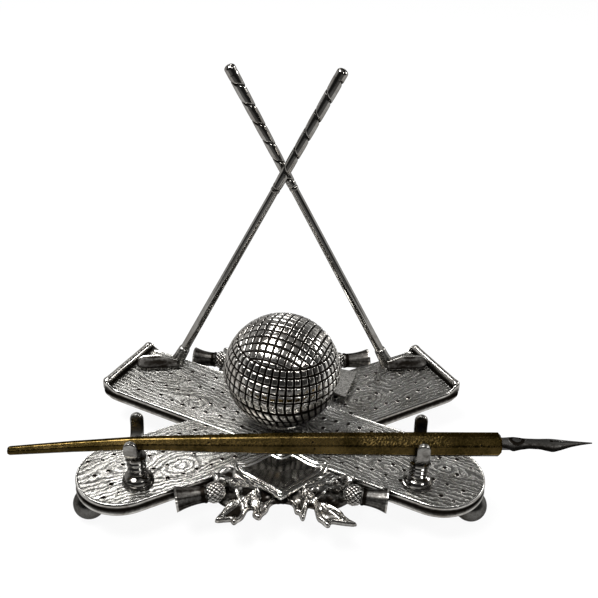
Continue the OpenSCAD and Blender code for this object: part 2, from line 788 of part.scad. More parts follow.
module inkwell_nut() { color(STEEL) nut([0, ball_y], ball_screw); }
module post_nuts() { color(STEEL) for (p = fork_places) nut(p, post_stud); }

// ---- pen posts and forks ---------------------------------------------------

// turned post: rounded flange, dome, three rings and a small platform under the fork
module post(place, seat) {
    top = seat - fork_strip;
    tall = top - board_top;
    stud_low = board_low + 0.5;
    bead = 1.5;                         // height of the flange's rounded edge
    dome = 3.9;
    platform = tall - 2.3;
    rings = 3;
    pitch = (platform - dome) / rings;
    proud = post_neck + 0.55;
    color(SILVER) translate([place[0], place[1], board_top]) {
        rotate_extrude($fn = ROUND) polygon(concat(
            [[0, 0], [post_flange - 0.5, 0]],
            curve([post_flange - 0.4, 0.05], [post_flange, 0.1], [post_flange, bead],
                [post_flange - 0.6, bead], 8),
            curve([post_flange - 0.7, bead], [post_flange - 0.9, bead + 1.5],
                [post_neck + 1.6, dome - 0.6], [post_neck, dome], 10),
            [for (i = [0:rings - 1]) each [
                [post_neck, dome + (i + 0.04) * pitch], [proud, dome + (i + 0.3) * pitch],
                [proud, dome + (i + 0.66) * pitch], [post_neck, dome + (i + 0.96) * pitch]]],
            [[proud + 0.35, platform + 0.5], [proud + 0.35, platform + 1.2],
                [post_neck - 0.3, platform + 1.6], [post_neck - 0.3, tall], [0, tall]]
        ));
        translate([0, 0, stud_low - board_top])
            cylinder(r = post_stud, h = board_top - stud_low + fuse, $fn = ROUND);
    }
}

module post_left() { post(fork_places[0], left_seat); }
module post_right() { post(fork_places[1], right_seat); }

// height of the round bottom inside a fork
function fork_bend(seat) = min(fork_gap, fork_tip - seat - fork_width / 2 - 0.5);

// U-shaped fork bent from flat strip: round bottom, straight prongs, round tips
module fork(place, seat, turn) {
    outer = fork_gap + fork_strip;
    rise = fork_tip - seat;
    bend = fork_bend(seat);
    color(SILVER) translate([place[0], place[1], seat]) rotate([0, 0, turn]) intersection() {
        translate([-fork_width / 2, 0, 0]) rotate([90, 0, 90]) linear_extrude(height = fork_width)
            difference() {
                union() {
                    translate([0, bend]) scale([outer / fork_gap * fork_gap, bend + fork_strip])
                        circle(1, $fn = ROUND);
                    translate([-outer, bend]) square([2 * outer, rise - bend]);
                }
                translate([0, bend]) scale([fork_gap, bend]) circle(1, $fn = ROUND);
                translate([-fork_gap, bend]) square([2 * fork_gap, rise]);
            }
        // round tips
        union() {
            translate([-fork_width, -2 * outer, -fork_width])
                cube([2 * fork_width, 4 * outer, rise + fork_width / 2]);
            translate([0, 2 * outer, rise - fork_width / 2]) rotate([90, 0, 0])
                cylinder(r = fork_width / 2, h = 4 * outer, $fn = ROUND);
        }
    }
}

module fork_left() { fork(fork_places[0], left_seat, 0); }
module fork_right() { fork(fork_places[1], right_seat, -4); }

// ---- crossed clubs ---------------------------------------------------------

// side = -1: front club, from the left heel to the right top; side = 1: rear club
function heel(side) = [side * club_heel_x, club_heel_y, board_top];
function top_end(side) = [-side * club_top_x, club_heel_y + side * club_lean, club_top];
function club_long(side) = norm(top_end(side) - heel(side));
function club_at(side, s) = heel(side) + (top_end(side) - heel(side)) * s / club_long(side);

hosel_long = 6;
hosel_radius = shaft_foot + 0.55;
socket = 4;
grip_wall = 0.25;
cross_share = club_heel_x / (club_heel_x + club_top_x);
grip_length = club_long(1) * (1 - cross_share) + grip_below;
cross_z = board_top + (club_top - board_top) * cross_share;
cross_pin = 0.5;

module crossing_drill(radius) {
    translate([0, club_heel_y + 3 * shaft_foot, cross_z]) rotate([90, 0, 0])
        cylinder(r = radius, h = 6 * shaft_foot, $fn = ROUND);
}

module club_shaft(side) {
    foot = 1.5;
    long = club_long(side);
    grip_from = long - grip_length;
    color(SILVER) difference() {
        along(heel(side), top_end(side)) {
            translate([0, 0, foot])
                cylinder(r1 = shaft_foot, r2 = shaft_top, h = grip_from - foot, $fn = ROUND);
            translate([0, 0, grip_from - fuse])
                cylinder(r = shaft_top - grip_wall, h = grip_length - 2, $fn = ROUND);
        }
        crossing_drill(cross_pin + fit);
    }
}

module club_grip(side) {
    long = club_long(side);
    butt = 1.2;
    color(DARK_SILVER) difference() {
        along(heel(side), top_end(side)) translate([0, 0, long - grip_length]) difference() {
            rotate_extrude($fn = ROUND) polygon(concat(
                [[0, fit], [grip_low - 0.2, fit], [grip_low, 0.4], [grip_low, 1.2], [grip_low - 0.2, 1.5],
                    [grip_top - 0.25, grip_length - 3], [grip_top, grip_length - 2.5]],
                curve([grip_top, grip_length - butt], [grip_top, grip_length - 0.3],
                    [grip_top * 0.6, grip_length], [0, grip_length], 6),
                [[0, grip_length]]
            ));
            translate([0, 0, -fuse])
                cylinder(r = shaft_top - grip_wall + fit, h = grip_length - 2 + fuse + fit, $fn = ROUND);
        }
        crossing_drill(cross_pin + fit);
    }
}

// Blade of an iron, seen on its face: nearly straight top, round toe, and a sole that
// rises to the narrow heel.
blade_heel = [0.3, 0.62];               // lower and upper edge at the heel, in shares of the height
module blade_outline() {
    toe = head_height * 0.42;
    foot = [head_length * 0.5, 0];
    round_toe = [head_length - toe * 0.35, head_height * 0.22];
    polygon(concat(
        [[-1, head_height * blade_heel[1]], [-1, head_height * blade_heel[0]]],
        curve([0, head_height * blade_heel[0]], [head_length * 0.16, head_height * 0.06],
            [head_length * 0.3, 0], foot, 8),
        curve(foot, [head_length * 0.7, 0], [head_length - toe, 0], round_toe, 6),
        curve(round_toe, [head_length, head_height * 0.4],
            [head_length + 0.2, head_height * 0.8], [head_length - toe * 0.6, head_height], 8),
        [[head_length - toe * 0.6, head_height]]
    ));
}

// The blade leans back from its sole, which stands forward of the heel, and is thicker
// below than above.
module blade() {
    sole = head_height * 0.414;
    top_edge = head_height * 0.172;
    forward = head_height * 0.793;
    rise = 0.02;
    difference() {
        translate([0, -forward, rise]) rotate([-head_loft, 0, 0])
            difference() {
                rotate([90, 0, 0]) translate([0, 0, -sole])
                    linear_extrude(height = sole) blade_outline();
                translate([-2, sole, 0]) rotate([atan2(sole - top_edge, head_height), 0, 0])
                    cube([head_length + 4, sole, 2 * head_height]);
            }
        // flat of the sole on the board
        translate([-5, -3 * forward, -2]) cube([head_length + 10, 6 * forward, 2 + rise]);
    }
}

module club_head(side, turn) {
    color(SILVER) difference() {
        union() {
            translate([side * club_heel_x, club_heel_y, board_top]) rotate([0, 0, turn])
                mirror([side < 0 ? 1 : 0, 0, 0]) blade();
            intersection() {
                along(heel(side) - (top_end(side) - heel(side)) * 0.02, top_end(side))
                    cylinder(r1 = hosel_radius + 0.2, r2 = shaft_foot + 0.3,
                        h = hosel_long + 2.4, $fn = ROUND);
                // all that lies above the board
                translate([0, 0, board_top]) cylinder(r = 2 * rear_reach, h = club_top, $fn = ROUND);
            }
        }
        along(heel(side), top_end(side)) translate([0, 0, 1.5 - fit])
            cylinder(r = shaft_foot + fit, h = 2 * hosel_long, $fn = ROUND);
        translate([side * club_heel_x, club_heel_y, board_top - fuse])
            cylinder(r = club_screw + fit, h = 1.3 + fuse, $fn = ROUND);
    }
}

module club_head_front() { club_head(-1, 5); }
module club_head_rear() { club_head(1, 3); }
module club_shaft_front() { club_shaft(-1); }
module club_shaft_rear() { club_shaft(1); }
module club_grip_front() { club_grip(-1); }
module club_grip_rear() { club_grip(1); }

module club_screws() {
    head = 1.4;
    color(STEEL) for (p = heel_places) translate([p[0], p[1], skin_low - head]) {
        cylinder(r = screw_head_radius, h = head, $fn = ROUND);
        cylinder(r = club_screw, h = head + board_skin + 1.1, $fn = ROUND);
    }
}

module crossing_pin() {
    reach = 2 * (club_lean * cross_share + shaft_top + 0.5);
    color(SILVER) translate([0, club_heel_y + reach / 2, cross_z]) rotate([90, 0, 0])
        cylinder(r = cross_pin, h = reach, $fn = ROUND);
}

// ---- dip pen ---------------------------------------------------------------

// the holder's axis rises from the left fork to the right one; its tail droops a little
pen_y = -33.8;
seat_play = 0.1;
left_width = 4.1;
mid_width = 6.7;
pen_turn = -7;                          // turn of the eight flats about the pen's axis

// height of the pen's axis over a fork's seat when one of its lower edges rests there
function rest_height(seat, width) = seat_play + max([
    for (k = [4:7])
        let (
            r = width / 2 / cos(22.5), a = 22.5 + pen_turn + 45 * k,
            aside = r * cos(a) + pen_y - fork_y
        )
        fork_bend(seat) * (1 - sqrt(max(0, 1 - pow(aside / fork_gap, 2)))) - r * sin(a)
]);
pen_z_left = left_seat + rest_height(left_seat, left_width);
pen_z_right = right_seat + rest_height(right_seat, pen_thick);
pen_slope = (pen_z_right - pen_z_left) / (right_fork_x - left_fork_x);
function pen_z(x) = pen_z_left + pen_slope * (x - left_fork_x);
tail_droop = 1.6;
tail_middle = (pen_tail_x + left_fork_x) / 2;

// [x, width across the flats, axis height] along the holder
pen_stations = [
    [pen_tail_x, pen_thin * 0.8, pen_z(pen_tail_x) - tail_droop],
    [pen_tail_x + 0.6, pen_thin, pen_z(pen_tail_x) - tail_droop],
    [tail_middle, pen_thin + 0.65, pen_z(tail_middle) - tail_droop * 0.4],
    [left_fork_x, left_width, pen_z_left],
    [left_fork_x / 2, (left_width + mid_width) / 2 + 0.1, pen_z(left_fork_x / 2)],
    [0, mid_width, pen_z(0)],
    [right_fork_x, pen_thick, pen_z_right],
    [pen_end_x - 0.8, pen_thick, pen_z(pen_end_x)],
    [pen_end_x, pen_thick * 0.78, pen_z(pen_end_x)]
];

module pen_holder() {
    sides = 8;
    count = len(pen_stations);
    points = [
        for (s = pen_stations) for (k = [0:sides - 1])
            let (a = 22.5 + pen_turn + 45 * k, r = s[1] / 2 / cos(22.5))
                [s[0], pen_y + r * cos(a), s[2] + r * sin(a)]
    ];
    faces = concat(
        [[for (k = [0:sides - 1]) k]],
        [for (s = [0:count - 2]) for (k = [0:sides - 1])
            [s * sides + k, (s + 1) * sides + k,
                (s + 1) * sides + (k + 1) % sides, s * sides + (k + 1) % sides]],
        [[for (k = [sides - 1:-1:0]) (count - 1) * sides + k]]
    );
    color(BRASS) difference() {
        polyhedron(points, faces, convexity = 2);
        translate([pen_end_x - 5, pen_y, pen_z(pen_end_x)]) rotate([0, 90, 0])
            cylinder(r = sleeve_radius + fit, h = 6, $fn = ROUND);
    }
}

sleeve_radius = 1.9;
nib_gap = 0.1;

// thin tube that grips the nib's root
module nib_sleeve() {
    root = 4;
    color(STEEL) translate([pen_end_x - root, pen_y, pen_z(pen_end_x)]) rotate([0, 90, 0]) difference() {
        cylinder(r = sleeve_radius, h = root + sleeve_length, $fn = ROUND);
        translate([0, 0, root]) ring(sleeve_radius - 0.5 + 0.0, sleeve_radius - 0.95, sleeve_length + 1);
    }
}

// The nib is a bowed sheet: half a tube at its root, widest at the shoulders and
// drawn in to the point. Stations are [share of the length, half width, bow height].
nib_stations = [
    [0, 1.35, 1.2], [0.06, 1.35, 1.3], [0.14, 2.1, 2.1], [0.26, 2.6, 2.4], [0.4, 2.75, 2.2],
    [0.52, 2.6, 1.9], [0.62, 1.7, 1.4], [0.75, 1.05, 0.9], [0.88, 0.6, 0.5], [1, 0.2, 0.18]
];
nib_thickness = 0.4;

module pen_nib() {
    across = 8;
    n = across + 1;
    rows = len(nib_stations);
    start = pen_end_x + sleeve_length - 2;
    crest = pen_z(pen_end_x) + sleeve_radius - 0.5;
    function nib_point(s, k, layer) =
        let (
            t = -1 + 2 * k / across,
            w = s[1],
            h = s[2] * (1 - sqrt(max(0, 1 - t * t * 0.98)))
        )
        [start + s[0] * (nib_length + 2), pen_y + t * w,
            crest - h - layer * nib_thickness - 0.9 * s[0] * s[0]];
    points = [for (layer = [0, 1]) for (s = nib_stations) for (k = [0:across]) nib_point(s, k, layer)];
    b = rows * n;
    faces = concat(
        [for (i = [0:rows - 2]) for (k = [0:across - 1])
            each [
                [i * n + k, i * n + k + 1, (i + 1) * n + k + 1],
                [i * n + k, (i + 1) * n + k + 1, (i + 1) * n + k]]],
        [for (i = [0:rows - 2]) for (k = [0:across - 1])
            each [
                [b + i * n + k, b + (i + 1) * n + k + 1, b + i * n + k + 1],
                [b + i * n + k, b + (i + 1) * n + k, b + (i + 1) * n + k + 1]]],
        [for (i = [0:rows - 2]) each [
            [i * n, (i + 1) * n, b + (i + 1) * n], [i * n, b + (i + 1) * n, b + i * n],
            [i * n + across, b + (i + 1) * n + across, (i + 1) * n + across],
            [i * n + across, b + i * n + across, b + (i + 1) * n + across]]],
        [for (k = [0:across - 1]) each [
            [k, b + k + 1, k + 1], [k, b + k, b + k + 1],
            [(rows - 1) * n + k, (rows - 1) * n + k + 1, b + (rows - 1) * n + k + 1],
            [(rows - 1) * n + k, b + (rows - 1) * n + k + 1, b + (rows - 1) * n + k]]]
    );
    color(STEEL) polyhedron(points, faces, convexity = 4);
}

// ---- what is drawn ---------------------------------------------------------

base_boards();
foot_front_left();
foot_front_right();
foot_rear_left();
foot_rear_right();
thistle_spray_front();
thistle_spray_rear();
shield_front();
shield_rear();
ball_plate();
inkwell_bowl();
bowl_bezel();
inkwell_lid();
hinge_bowl_knuckles();
hinge_lid_knuckle();
hinge_pin();
glass_liner();
inkwell_screw();
inkwell_nut();
post_left();
post_right();
fork_left();
fork_right();
post_nuts();
club_head_front();
club_head_rear();
club_shaft_front();
club_shaft_rear();
club_grip_front();
club_grip_rear();
club_screws();
crossing_pin();
pen_holder();
nib_sleeve();
pen_nib();
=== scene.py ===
# %% [markdown]
# # Silver desk inkstand
# The packed model gives the frame: a stand, a lid that turns back on its hinge, and a pen that
# lifts out of its forks. This notebook dresses it. Each relief (wood grain, mesh-cut ball, thistle
# leaves, shield, wound grips, pen) is a surface worked out from a formula with whole arrays, and each
# metal is a shader written as plain arithmetic. Lengths inside the cells are millimetres.

# %% The packed model
import math

import bpy
import numpy as np
from mathutils import Matrix, Vector


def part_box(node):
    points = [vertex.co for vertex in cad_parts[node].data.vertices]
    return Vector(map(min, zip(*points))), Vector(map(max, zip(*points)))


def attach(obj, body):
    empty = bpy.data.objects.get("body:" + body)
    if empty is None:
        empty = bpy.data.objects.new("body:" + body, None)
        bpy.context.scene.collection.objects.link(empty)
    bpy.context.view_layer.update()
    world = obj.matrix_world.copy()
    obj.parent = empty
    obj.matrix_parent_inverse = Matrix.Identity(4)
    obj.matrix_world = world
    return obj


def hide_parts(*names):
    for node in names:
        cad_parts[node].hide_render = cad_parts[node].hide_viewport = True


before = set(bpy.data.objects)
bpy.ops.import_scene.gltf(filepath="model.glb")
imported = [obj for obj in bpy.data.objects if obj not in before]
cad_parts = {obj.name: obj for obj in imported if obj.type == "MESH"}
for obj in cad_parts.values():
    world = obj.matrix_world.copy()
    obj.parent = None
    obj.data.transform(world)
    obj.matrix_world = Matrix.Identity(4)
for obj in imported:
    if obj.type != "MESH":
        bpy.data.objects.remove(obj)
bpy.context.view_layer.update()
MM = 0.001                                             # Blender counts in metres, the formulas in mm

# %% [markdown]
# ## Shader arithmetic
# A material is a net of nodes, and a formula is hard to find again in a list of links. The nodes could
# be added and joined one by one. Here `Val` wraps one socket and takes over Python's operators, so that
# an expression adds its own Math nodes and can be read as the formula it is.

# %% A shader value
class Val:
    """One value in a shader tree. Arithmetic on it adds Math nodes and gives a new value."""

    def __init__(self, mat, socket):
        self.mat, self.socket = mat, socket

    def _math(self, op, *others):
        return self.mat.node("ShaderNodeMath", *([self] + list(others)), operation=op)

    def __add__(self, o): return self._math("ADD", o)
    def __radd__(self, o): return self._math("ADD", o)
    def __sub__(self, o): return self._math("SUBTRACT", o)
    def __rsub__(self, o): return self.mat.lift(o)._math("SUBTRACT", self)
    def __mul__(self, o): return self._math("MULTIPLY", o)
    def __rmul__(self, o): return self._math("MULTIPLY", o)
    def abs(self): return self._math("ABSOLUTE")
    def fract(self): return self._math("FRACT")
    def max(self, o): return self._math("MAXIMUM", o)
    def min(self, o): return self._math("MINIMUM", o)

    def ramp(self, low, high, a=0.0, b=1.0):
        """Runs smoothly from a to b while this value goes from low to high."""
        return self.mat.node("ShaderNodeMapRange", self, low, high, a, b, clamp=True,
                             interpolation_type="SMOOTHSTEP")


print("a shader value can", sorted(k.strip("_") for k, v in vars(Val).items() if callable(v)))

# %% [markdown]
# ## Materials by formula
# Blender's Principled shader does the optics. `Mat` adds what the formulas ask for: noise and cells
# counted in millimetres, numbers kept on the mesh's points, and one method through which every node
# comes. Polished metal seen edge on shines like a mirror. Old plate is too rough for that, so the edge
# tint holds its gloss back there.

# %% A Principled material
EDGE_TINT = (0.42, 0.42, 0.42, 1.0)                    # share of its gloss a metal keeps edge on


class Mat:
    """A Principled material that is built by formulas."""

    def __init__(self, name, metallic=1.0, **constants):
        self.m = bpy.data.materials.new(name)
        self.m.use_nodes = True
        self.tree = self.m.node_tree
        self.bsdf = next(n for n in self.tree.nodes if n.type == "BSDF_PRINCIPLED")
        self.bsdf.inputs["Metallic"].default_value = metallic
        if metallic:
            self.bsdf.inputs["Specular Tint"].default_value = EDGE_TINT
        for k, v in constants.items():
            self.bsdf.inputs[k.replace("_", " ")].default_value = v

    def lift(self, number):
        """A plain number as a value of this tree."""
        return self.node("ShaderNodeMath", float(number), 0.0, operation="ADD")

    def feed(self, sock, v):
        """Links a value to a socket, or sets a number or a colour on it; None leaves it alone."""
        if isinstance(v, Val):
            self.tree.links.new(v.socket, sock)
        elif v is not None:
            sock.default_value = v + (1.0,) if isinstance(v, tuple) and len(v) == 3 else v

    def node(self, kind, *inputs, out=0, names=None, **props):
        """Adds one node: its settings first, then its inputs in order or by name. Returns an output."""
        n = self.tree.nodes.new(kind)
        for k, v in props.items():
            setattr(n, k, v)
        for sock, v in zip([s for s in n.inputs if s.enabled], inputs):
            self.feed(sock, v)
        for k, v in (names or {}).items():
            self.feed(n.inputs[k], v)
        return Val(self, n.outputs[out])

    def attribute(self, name):
        """A number kept on the mesh's points."""
        return self.node("ShaderNodeAttribute", out="Fac", attribute_name=name)

    def place(self):
        """Object coordinates in millimetres."""
        at = self.node("ShaderNodeTexCoord", out="Object")
        return self.node("ShaderNodeVectorMath", names={"Vector": at, "Scale": 1 / MM},
                         operation="SCALE")

    def noise(self, scale, detail=4.0, rough=0.55, warp=0.0):
        """Cloudy noise, 0 to 1, with that many features a millimetre."""
        return self.node("ShaderNodeTexNoise", out="Fac", names={
            "Vector": self.place(), "Scale": float(scale), "Detail": detail,
            "Roughness": rough, "Distortion": warp})

    def cells(self, scale, **props):
        """Cellular noise, for pits and tool marks: the distance to the nearest cell's middle."""
        return self.node("ShaderNodeTexVoronoi", out="Distance",
                         names={"Vector": self.place(), "Scale": float(scale)}, **props)

    def mix(self, fac, a, b):
        """Colour a where fac is 0, colour b where it is 1."""
        return self.node("ShaderNodeMix", fac, a, b, out=2, data_type="RGBA")

    def set(self, colour=None, roughness=None, bump=None, height=0.05):
        """Links what varies into the shader; bump is a height from 0 to 1, height its size in mm."""
        self.feed(self.bsdf.inputs["Base Color"], colour)
        self.feed(self.bsdf.inputs["Roughness"], roughness)
        if bump is not None:
            self.feed(self.bsdf.inputs["Normal"], self.node("ShaderNodeBump", names={
                "Height": bump, "Distance": height * MM, "Strength": 1.0}, out="Normal"))
        return self.m


print("a metal keeps", EDGE_TINT[0], "of its gloss edge on")

# %% [markdown]
# ## Silver plate
# The real stand is cast metal with antique silver plate: bright where hands rub it, grey where it
# tarnishes, and nearly black where the oxide stays in the hollows. Those marks could be painted on a
# picture. Here each relief carries a point attribute `dark`, 0 on the rubbed tops and 1 in the hollows,
# worked out by the same formula as its height, so that the oxide always lies in the right place. On
# some pieces `dark` also carries painted shade, as noted where it is made.

# %% Silver plate by formula
BRIGHT = (0.66, 0.645, 0.61)
GREY = (0.20, 0.19, 0.172)
BLACK = (0.0065, 0.0052, 0.004)
# colour of the faces that look up: rubbed, and painted lighter as a highlight from above
RUBBED_AND_LIT = (0.62, 0.60, 0.56)                            # faces that look up


def silver(name, dirt=0.35, shine=0.16, relief=False, tone=1.0, brown=0.0, worn=0.0, marks=0.03):
    """Silver plate with cloudy tarnish; dirt is how much of it there is, shine the roughness, and
    worn how much lighter the faces that look up are: they get rubbed, and the lighter colour
    also paints on them the highlight of the light from above."""
    m = Mat(name)
    cloud = m.noise(0.09, 5.0, 0.6, 0.4)
    fine = m.noise(0.9, 6.0, 0.65)
    darkening = (cloud * 0.65 + fine * 0.35).ramp(0.36, 0.68) * dirt
    bright = tuple(c * tone for c in BRIGHT)
    deep = tuple(c * min(tone, 1.0) for c in (GREY[0] + brown * 0.05, GREY[1], GREY[2] - brown * 0.03))
    colour = m.mix(darkening, bright, deep)
    # painted highlight: faces that look up are mixed towards a lighter colour, for rubbing and for the
    # light from above
    if worn:
        up = m.node("ShaderNodeSeparateXYZ", m.node("ShaderNodeNewGeometry", out="Normal"), out="Z")
        colour = m.mix(up.ramp(0.35, 0.95) * worn, colour, RUBBED_AND_LIT)
    rough = fine.ramp(0.3, 0.75, shine, 1.5 * shine + 0.03)
    scratch = m.noise(2.6, 3.0, 0.5)
    if relief:
        dark = m.attribute("dark")
        dark = (dark + (fine - 0.5) * 0.35 * dark.ramp(0.02, 0.4)).ramp(0.05, 0.95)
        colour = m.mix(dark, colour, BLACK)
        rough = rough + dark * 0.3
    return m.set(colour, rough, bump=scratch * 0.5 + cloud * 0.5, height=marks)


# %% The silver finishes
SILVER = silver("silver_plate", 0.9, 0.1, tone=0.36, brown=0.4, worn=0.2, marks=0.015)
# a darker copy of the silver for the feet under the boards and the hinge's knuckles: oxide, and painted
# shade
SILVER_OXIDISED_AND_SHADED = silver("silver_oxidised_and_shaded", 1.0, 0.2, tone=0.17, brown=0.3)
SILVER_HEAD = silver("silver_club_heads", 1.0, 0.2, relief=True, tone=0.4, brown=0.2, worn=0.35)
SILVER_SHAFT = silver("silver_club_shafts", 0.6, 0.07, tone=0.42, brown=0.6, marks=0.008)
SILVER_GRIP = silver("silver_wound_grips", 0.6, 0.07, relief=True, tone=0.42, brown=0.8, marks=0.008)
SILVER_CAST = silver("silver_cast_relief", 0.5, 0.17, relief=True, tone=0.75, brown=1.0)
SILVER_WALL = silver("silver_board_walls", 0.9, 0.16, relief=True, tone=0.72, brown=0.4, worn=0.4)
SILVER_SHEET = silver("silver_ball_plate", 0.5, 0.2, tone=1.0, worn=0.4)
SILVER_BALL = silver("silver_ball", 0.5, 0.11, relief=True, tone=0.8, brown=0.9, marks=0.012)
SILVER_SHIELD = silver("silver_polished", 0.08, 0.1, relief=True, tone=1.36, marks=0.002)
SILVER_FORK = silver("silver_forks", 0.8, 0.12, relief=True, tone=0.4, brown=0.3, marks=0.015, worn=0.6)
NIB = silver("nib_steel", 0.8, 0.14, relief=True, tone=0.45)
print("plated finishes", len(bpy.data.materials))

# %% [markdown]
# ## Metal of the chased boards
# On the real boards the wood's grain is cut in with a chisel: dark wavering lines, and a rubbed bright
# rim at the edge. As geometry, thousands of cuts a few tenths of a millimetre wide would need a huge
# mesh. So each point only carries the number of the wood line that it lies on, and the shader takes the
# fraction of that number as the place across one line, dark and sunk along its middle.

# %% Chased board metal
BOARD_PALE, BOARD_GREY = (0.58, 0.57, 0.54), (0.27, 0.26, 0.235)
BOARD_RIM = (0.72, 0.705, 0.67)


def board_metal():
    """Chased boards: the point attribute `grain` counts the wood's lines, so that its fraction is
    the place across one line, and `edge` is the distance to the board's edge in millimetres."""
    m = Mat("silver_chased_boards")
    grain, edge, dark = m.attribute("grain"), m.attribute("edge"), m.attribute("dark")
    wob = m.noise(0.5, 4.0, 0.6)
    fine = m.noise(1.3, 5.0, 0.62)
    broad = m.noise(0.07, 4.0, 0.55)
    line = (grain + (wob - 0.5) * 1.5).fract()
    cut = ((line - 0.5).abs() * 2.0).ramp(0.36, 0.9)                  # 1 along the middle of a cut
    inside = edge.ramp(0.55, 0.8)                                     # 0 on the rubbed rim
    deep = cut * fine.ramp(0.3, 0.58) * inside
    tone = m.mix((broad * 0.6 + fine * 0.4).ramp(0.34, 0.66), BOARD_PALE, BOARD_GREY)
    colour = m.mix(deep * 0.82, tone, BLACK)
    colour = m.mix((1.0 - inside) * 0.8, colour, BOARD_RIM)
    colour = m.mix(dark, colour, BLACK)
    rough = 0.19 + deep * 0.25 + fine * 0.12
    return m.set(colour, rough, bump=(1.0 - deep) * 0.8 + fine * 0.2, height=0.15)


BOARD = board_metal()
print("made", BOARD.name)

# %% [markdown]
# ## Bronzed brass
# The pen's holder is brass under a dark olive film, worn through at its corners, with small pits and a
# chased panel. Noise alone would put the wear anywhere. The holder's points therefore say where a
# corner is (`worn`, here the worn corners) and where the panel lies (`scroll`), and cellular
# noise draws the curls and pits.

# %% Pen holder brass
OLIVE, OLIVE_DEEP = (0.022, 0.015, 0.004), (0.004, 0.0027, 0.001)
BRASS_WORN, BRASS_CHASED = (0.26, 0.175, 0.058), (0.10, 0.07, 0.026)
BRASS_PIT = (0.005, 0.004, 0.003)


def brass_holder():
    """Bronzed brass of the pen: dark olive brown, rubbed bare and brighter on the bevels, with small
    dark pits.
    """
    m = Mat("bronzed_brass")
    cloud = m.noise(0.12, 5.0, 0.6, 0.6)
    fine = m.noise(1.2, 6.0, 0.7)
    pit = m.cells(0.3).ramp(0.06, 0.15, 1.0, 0.0) * m.noise(0.2).ramp(0.5, 0.56)
    worn = m.attribute("worn")
    colour = m.mix((cloud * 0.8 + fine * 0.2).ramp(0.4, 0.6), OLIVE, OLIVE_DEEP)
    bare = worn * (cloud * 0.6 + fine * 0.4).ramp(0.4, 0.6)
    colour = m.mix(bare.min(1.0), colour, BRASS_WORN)
    scroll = m.attribute("scroll")
    curl = m.cells(1.15, feature="DISTANCE_TO_EDGE").ramp(0.03, 0.16, 1.0, 0.0) * scroll
    colour = m.mix(curl * fine.ramp(0.4, 0.6) * 0.8, colour, BRASS_CHASED)
    colour = m.mix(pit, colour, BRASS_PIT)
    rough = 0.2 + fine * 0.14
    return m.set(colour, rough, bump=(1.0 - pit) * 0.5 + curl * 0.45 + fine * 0.05, height=0.06)


BRASS = brass_holder()
print("made", BRASS.name)

# %% [markdown]
# ## Steel and glass
# Screws, nuts, the hinge's pin and the pen's sleeve are steel under a thin darker film. The ink sits in
# a moulded glass cup, which is never quite even, so its surface gets faint ripples. Both could be one
# plain colour, but a little noise in the roughness is what makes them look handled.

# %% Steel with a darker film
def dark_steel(name, tone, shine):
    """Smooth steel: its tone falls to about a third where the fine noise is high."""
    m = Mat(name)
    fine = m.noise(0.8, 5.0, 0.6)
    film = (tone * 0.35, tone * 0.34, tone * 0.34)
    colour = m.mix(fine.ramp(0.35, 0.7), (tone, tone, tone * 1.02), film)
    return m.set(colour, fine.ramp(0.3, 0.7, shine, shine + 0.16), bump=fine, height=0.02)


STEEL = dark_steel("dark_steel", 0.3, 0.16)
SLEEVE = dark_steel("blackened_steel", 0.12, 0.25)
print("made", STEEL.name, "and", SLEEVE.name)


# %% Moulded glass
def clear_glass():
    """Moulded glass with faint ripples."""
    m = Mat("moulded_glass", metallic=0.0, Transmission_Weight=1.0, IOR=1.5)
    ripple = m.noise(0.12, 2.0, 0.4)
    return m.set((0.93, 0.97, 0.95), ripple.ramp(0.3, 0.7, 0.02, 0.08), bump=ripple, height=0.1)


GLASS = clear_glass()
print("made", GLASS.name)

# %% [markdown]
# ## From arrays to objects
# Every new piece is a grid of points worked out with numpy. It could be modelled by hand, but a formula
# can be changed in one place and always gives the same piece. `add_mesh` turns the arrays into an
# object, hangs it on the body that carries it and hides the packed pieces it replaces.

# %% Mesh objects
def add_mesh(name, points, faces, material, body, slot="silver_plate", replaces=(), sharp=None,
             reverse=False, **attributes):
    """A mesh object from an array of points in mm, faces as an (n, 4) array or a list of tuples, and
    one number a point for each attribute. It rides on a body. Edges bent by more than sharp degrees
    stay sharp, and reverse turns all faces round."""
    points = np.asarray(points, float).reshape(-1, 3)
    order = -1 if reverse else 1
    mesh = bpy.data.meshes.new(name)
    mesh.from_pydata((points * MM).tolist(), [], [tuple(int(i) for i in f)[::order] for f in faces])
    for key, values in attributes.items():
        layer = mesh.attributes.new(key, "FLOAT", "POINT")
        layer.data.foreach_set("value", np.ascontiguousarray(values, np.float32).ravel())
    mesh.validate()
    mesh.materials.append(material)
    mesh.polygons.foreach_set("use_smooth", [True] * len(mesh.polygons))
    obj = bpy.data.objects.new(name, mesh)
    bpy.context.scene.collection.objects.link(obj)
    if sharp:
        obj.select_set(True)
        bpy.context.view_layer.objects.active = obj
        bpy.ops.object.shade_smooth_by_angle(angle=math.radians(sharp))
        obj.select_set(False)
    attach(obj, body)
    if replaces:
        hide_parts(*replaces)
    return obj


print("packed pieces to dress or keep:", len(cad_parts))


# %% Faces of a grid
def quads(nu, nv, wrap_u=False, wrap_v=False, flip=False, first=0):
    """Quad faces of an nu by nv grid of points: each joins a point to the next ones along u and v, and
    with wrap the last ones to the first."""
    iu = np.arange(nu if wrap_u else nu - 1)
    iv = np.arange(nv if wrap_v else nv - 1)
    a, b = np.meshgrid(iu, iv, indexing="ij")
    a2, b2 = (a + 1) % nu, (b + 1) % nv
    f = np.stack([a * nv + b, a2 * nv + b, a2 * nv + b2, a * nv + b2], -1).reshape(-1, 4)
    return (f[:, ::-1] if flip else f) + first


def as_faces(*groups):
    """One list of faces from arrays of faces and from lists of tuples."""
    return [tuple(f) for group in groups for f in group]


def squarer(v, power):
    """The size of v raised to a power below 1, with v's sign: makes a round section squarer."""
    return np.sign(v) * np.abs(v) ** power


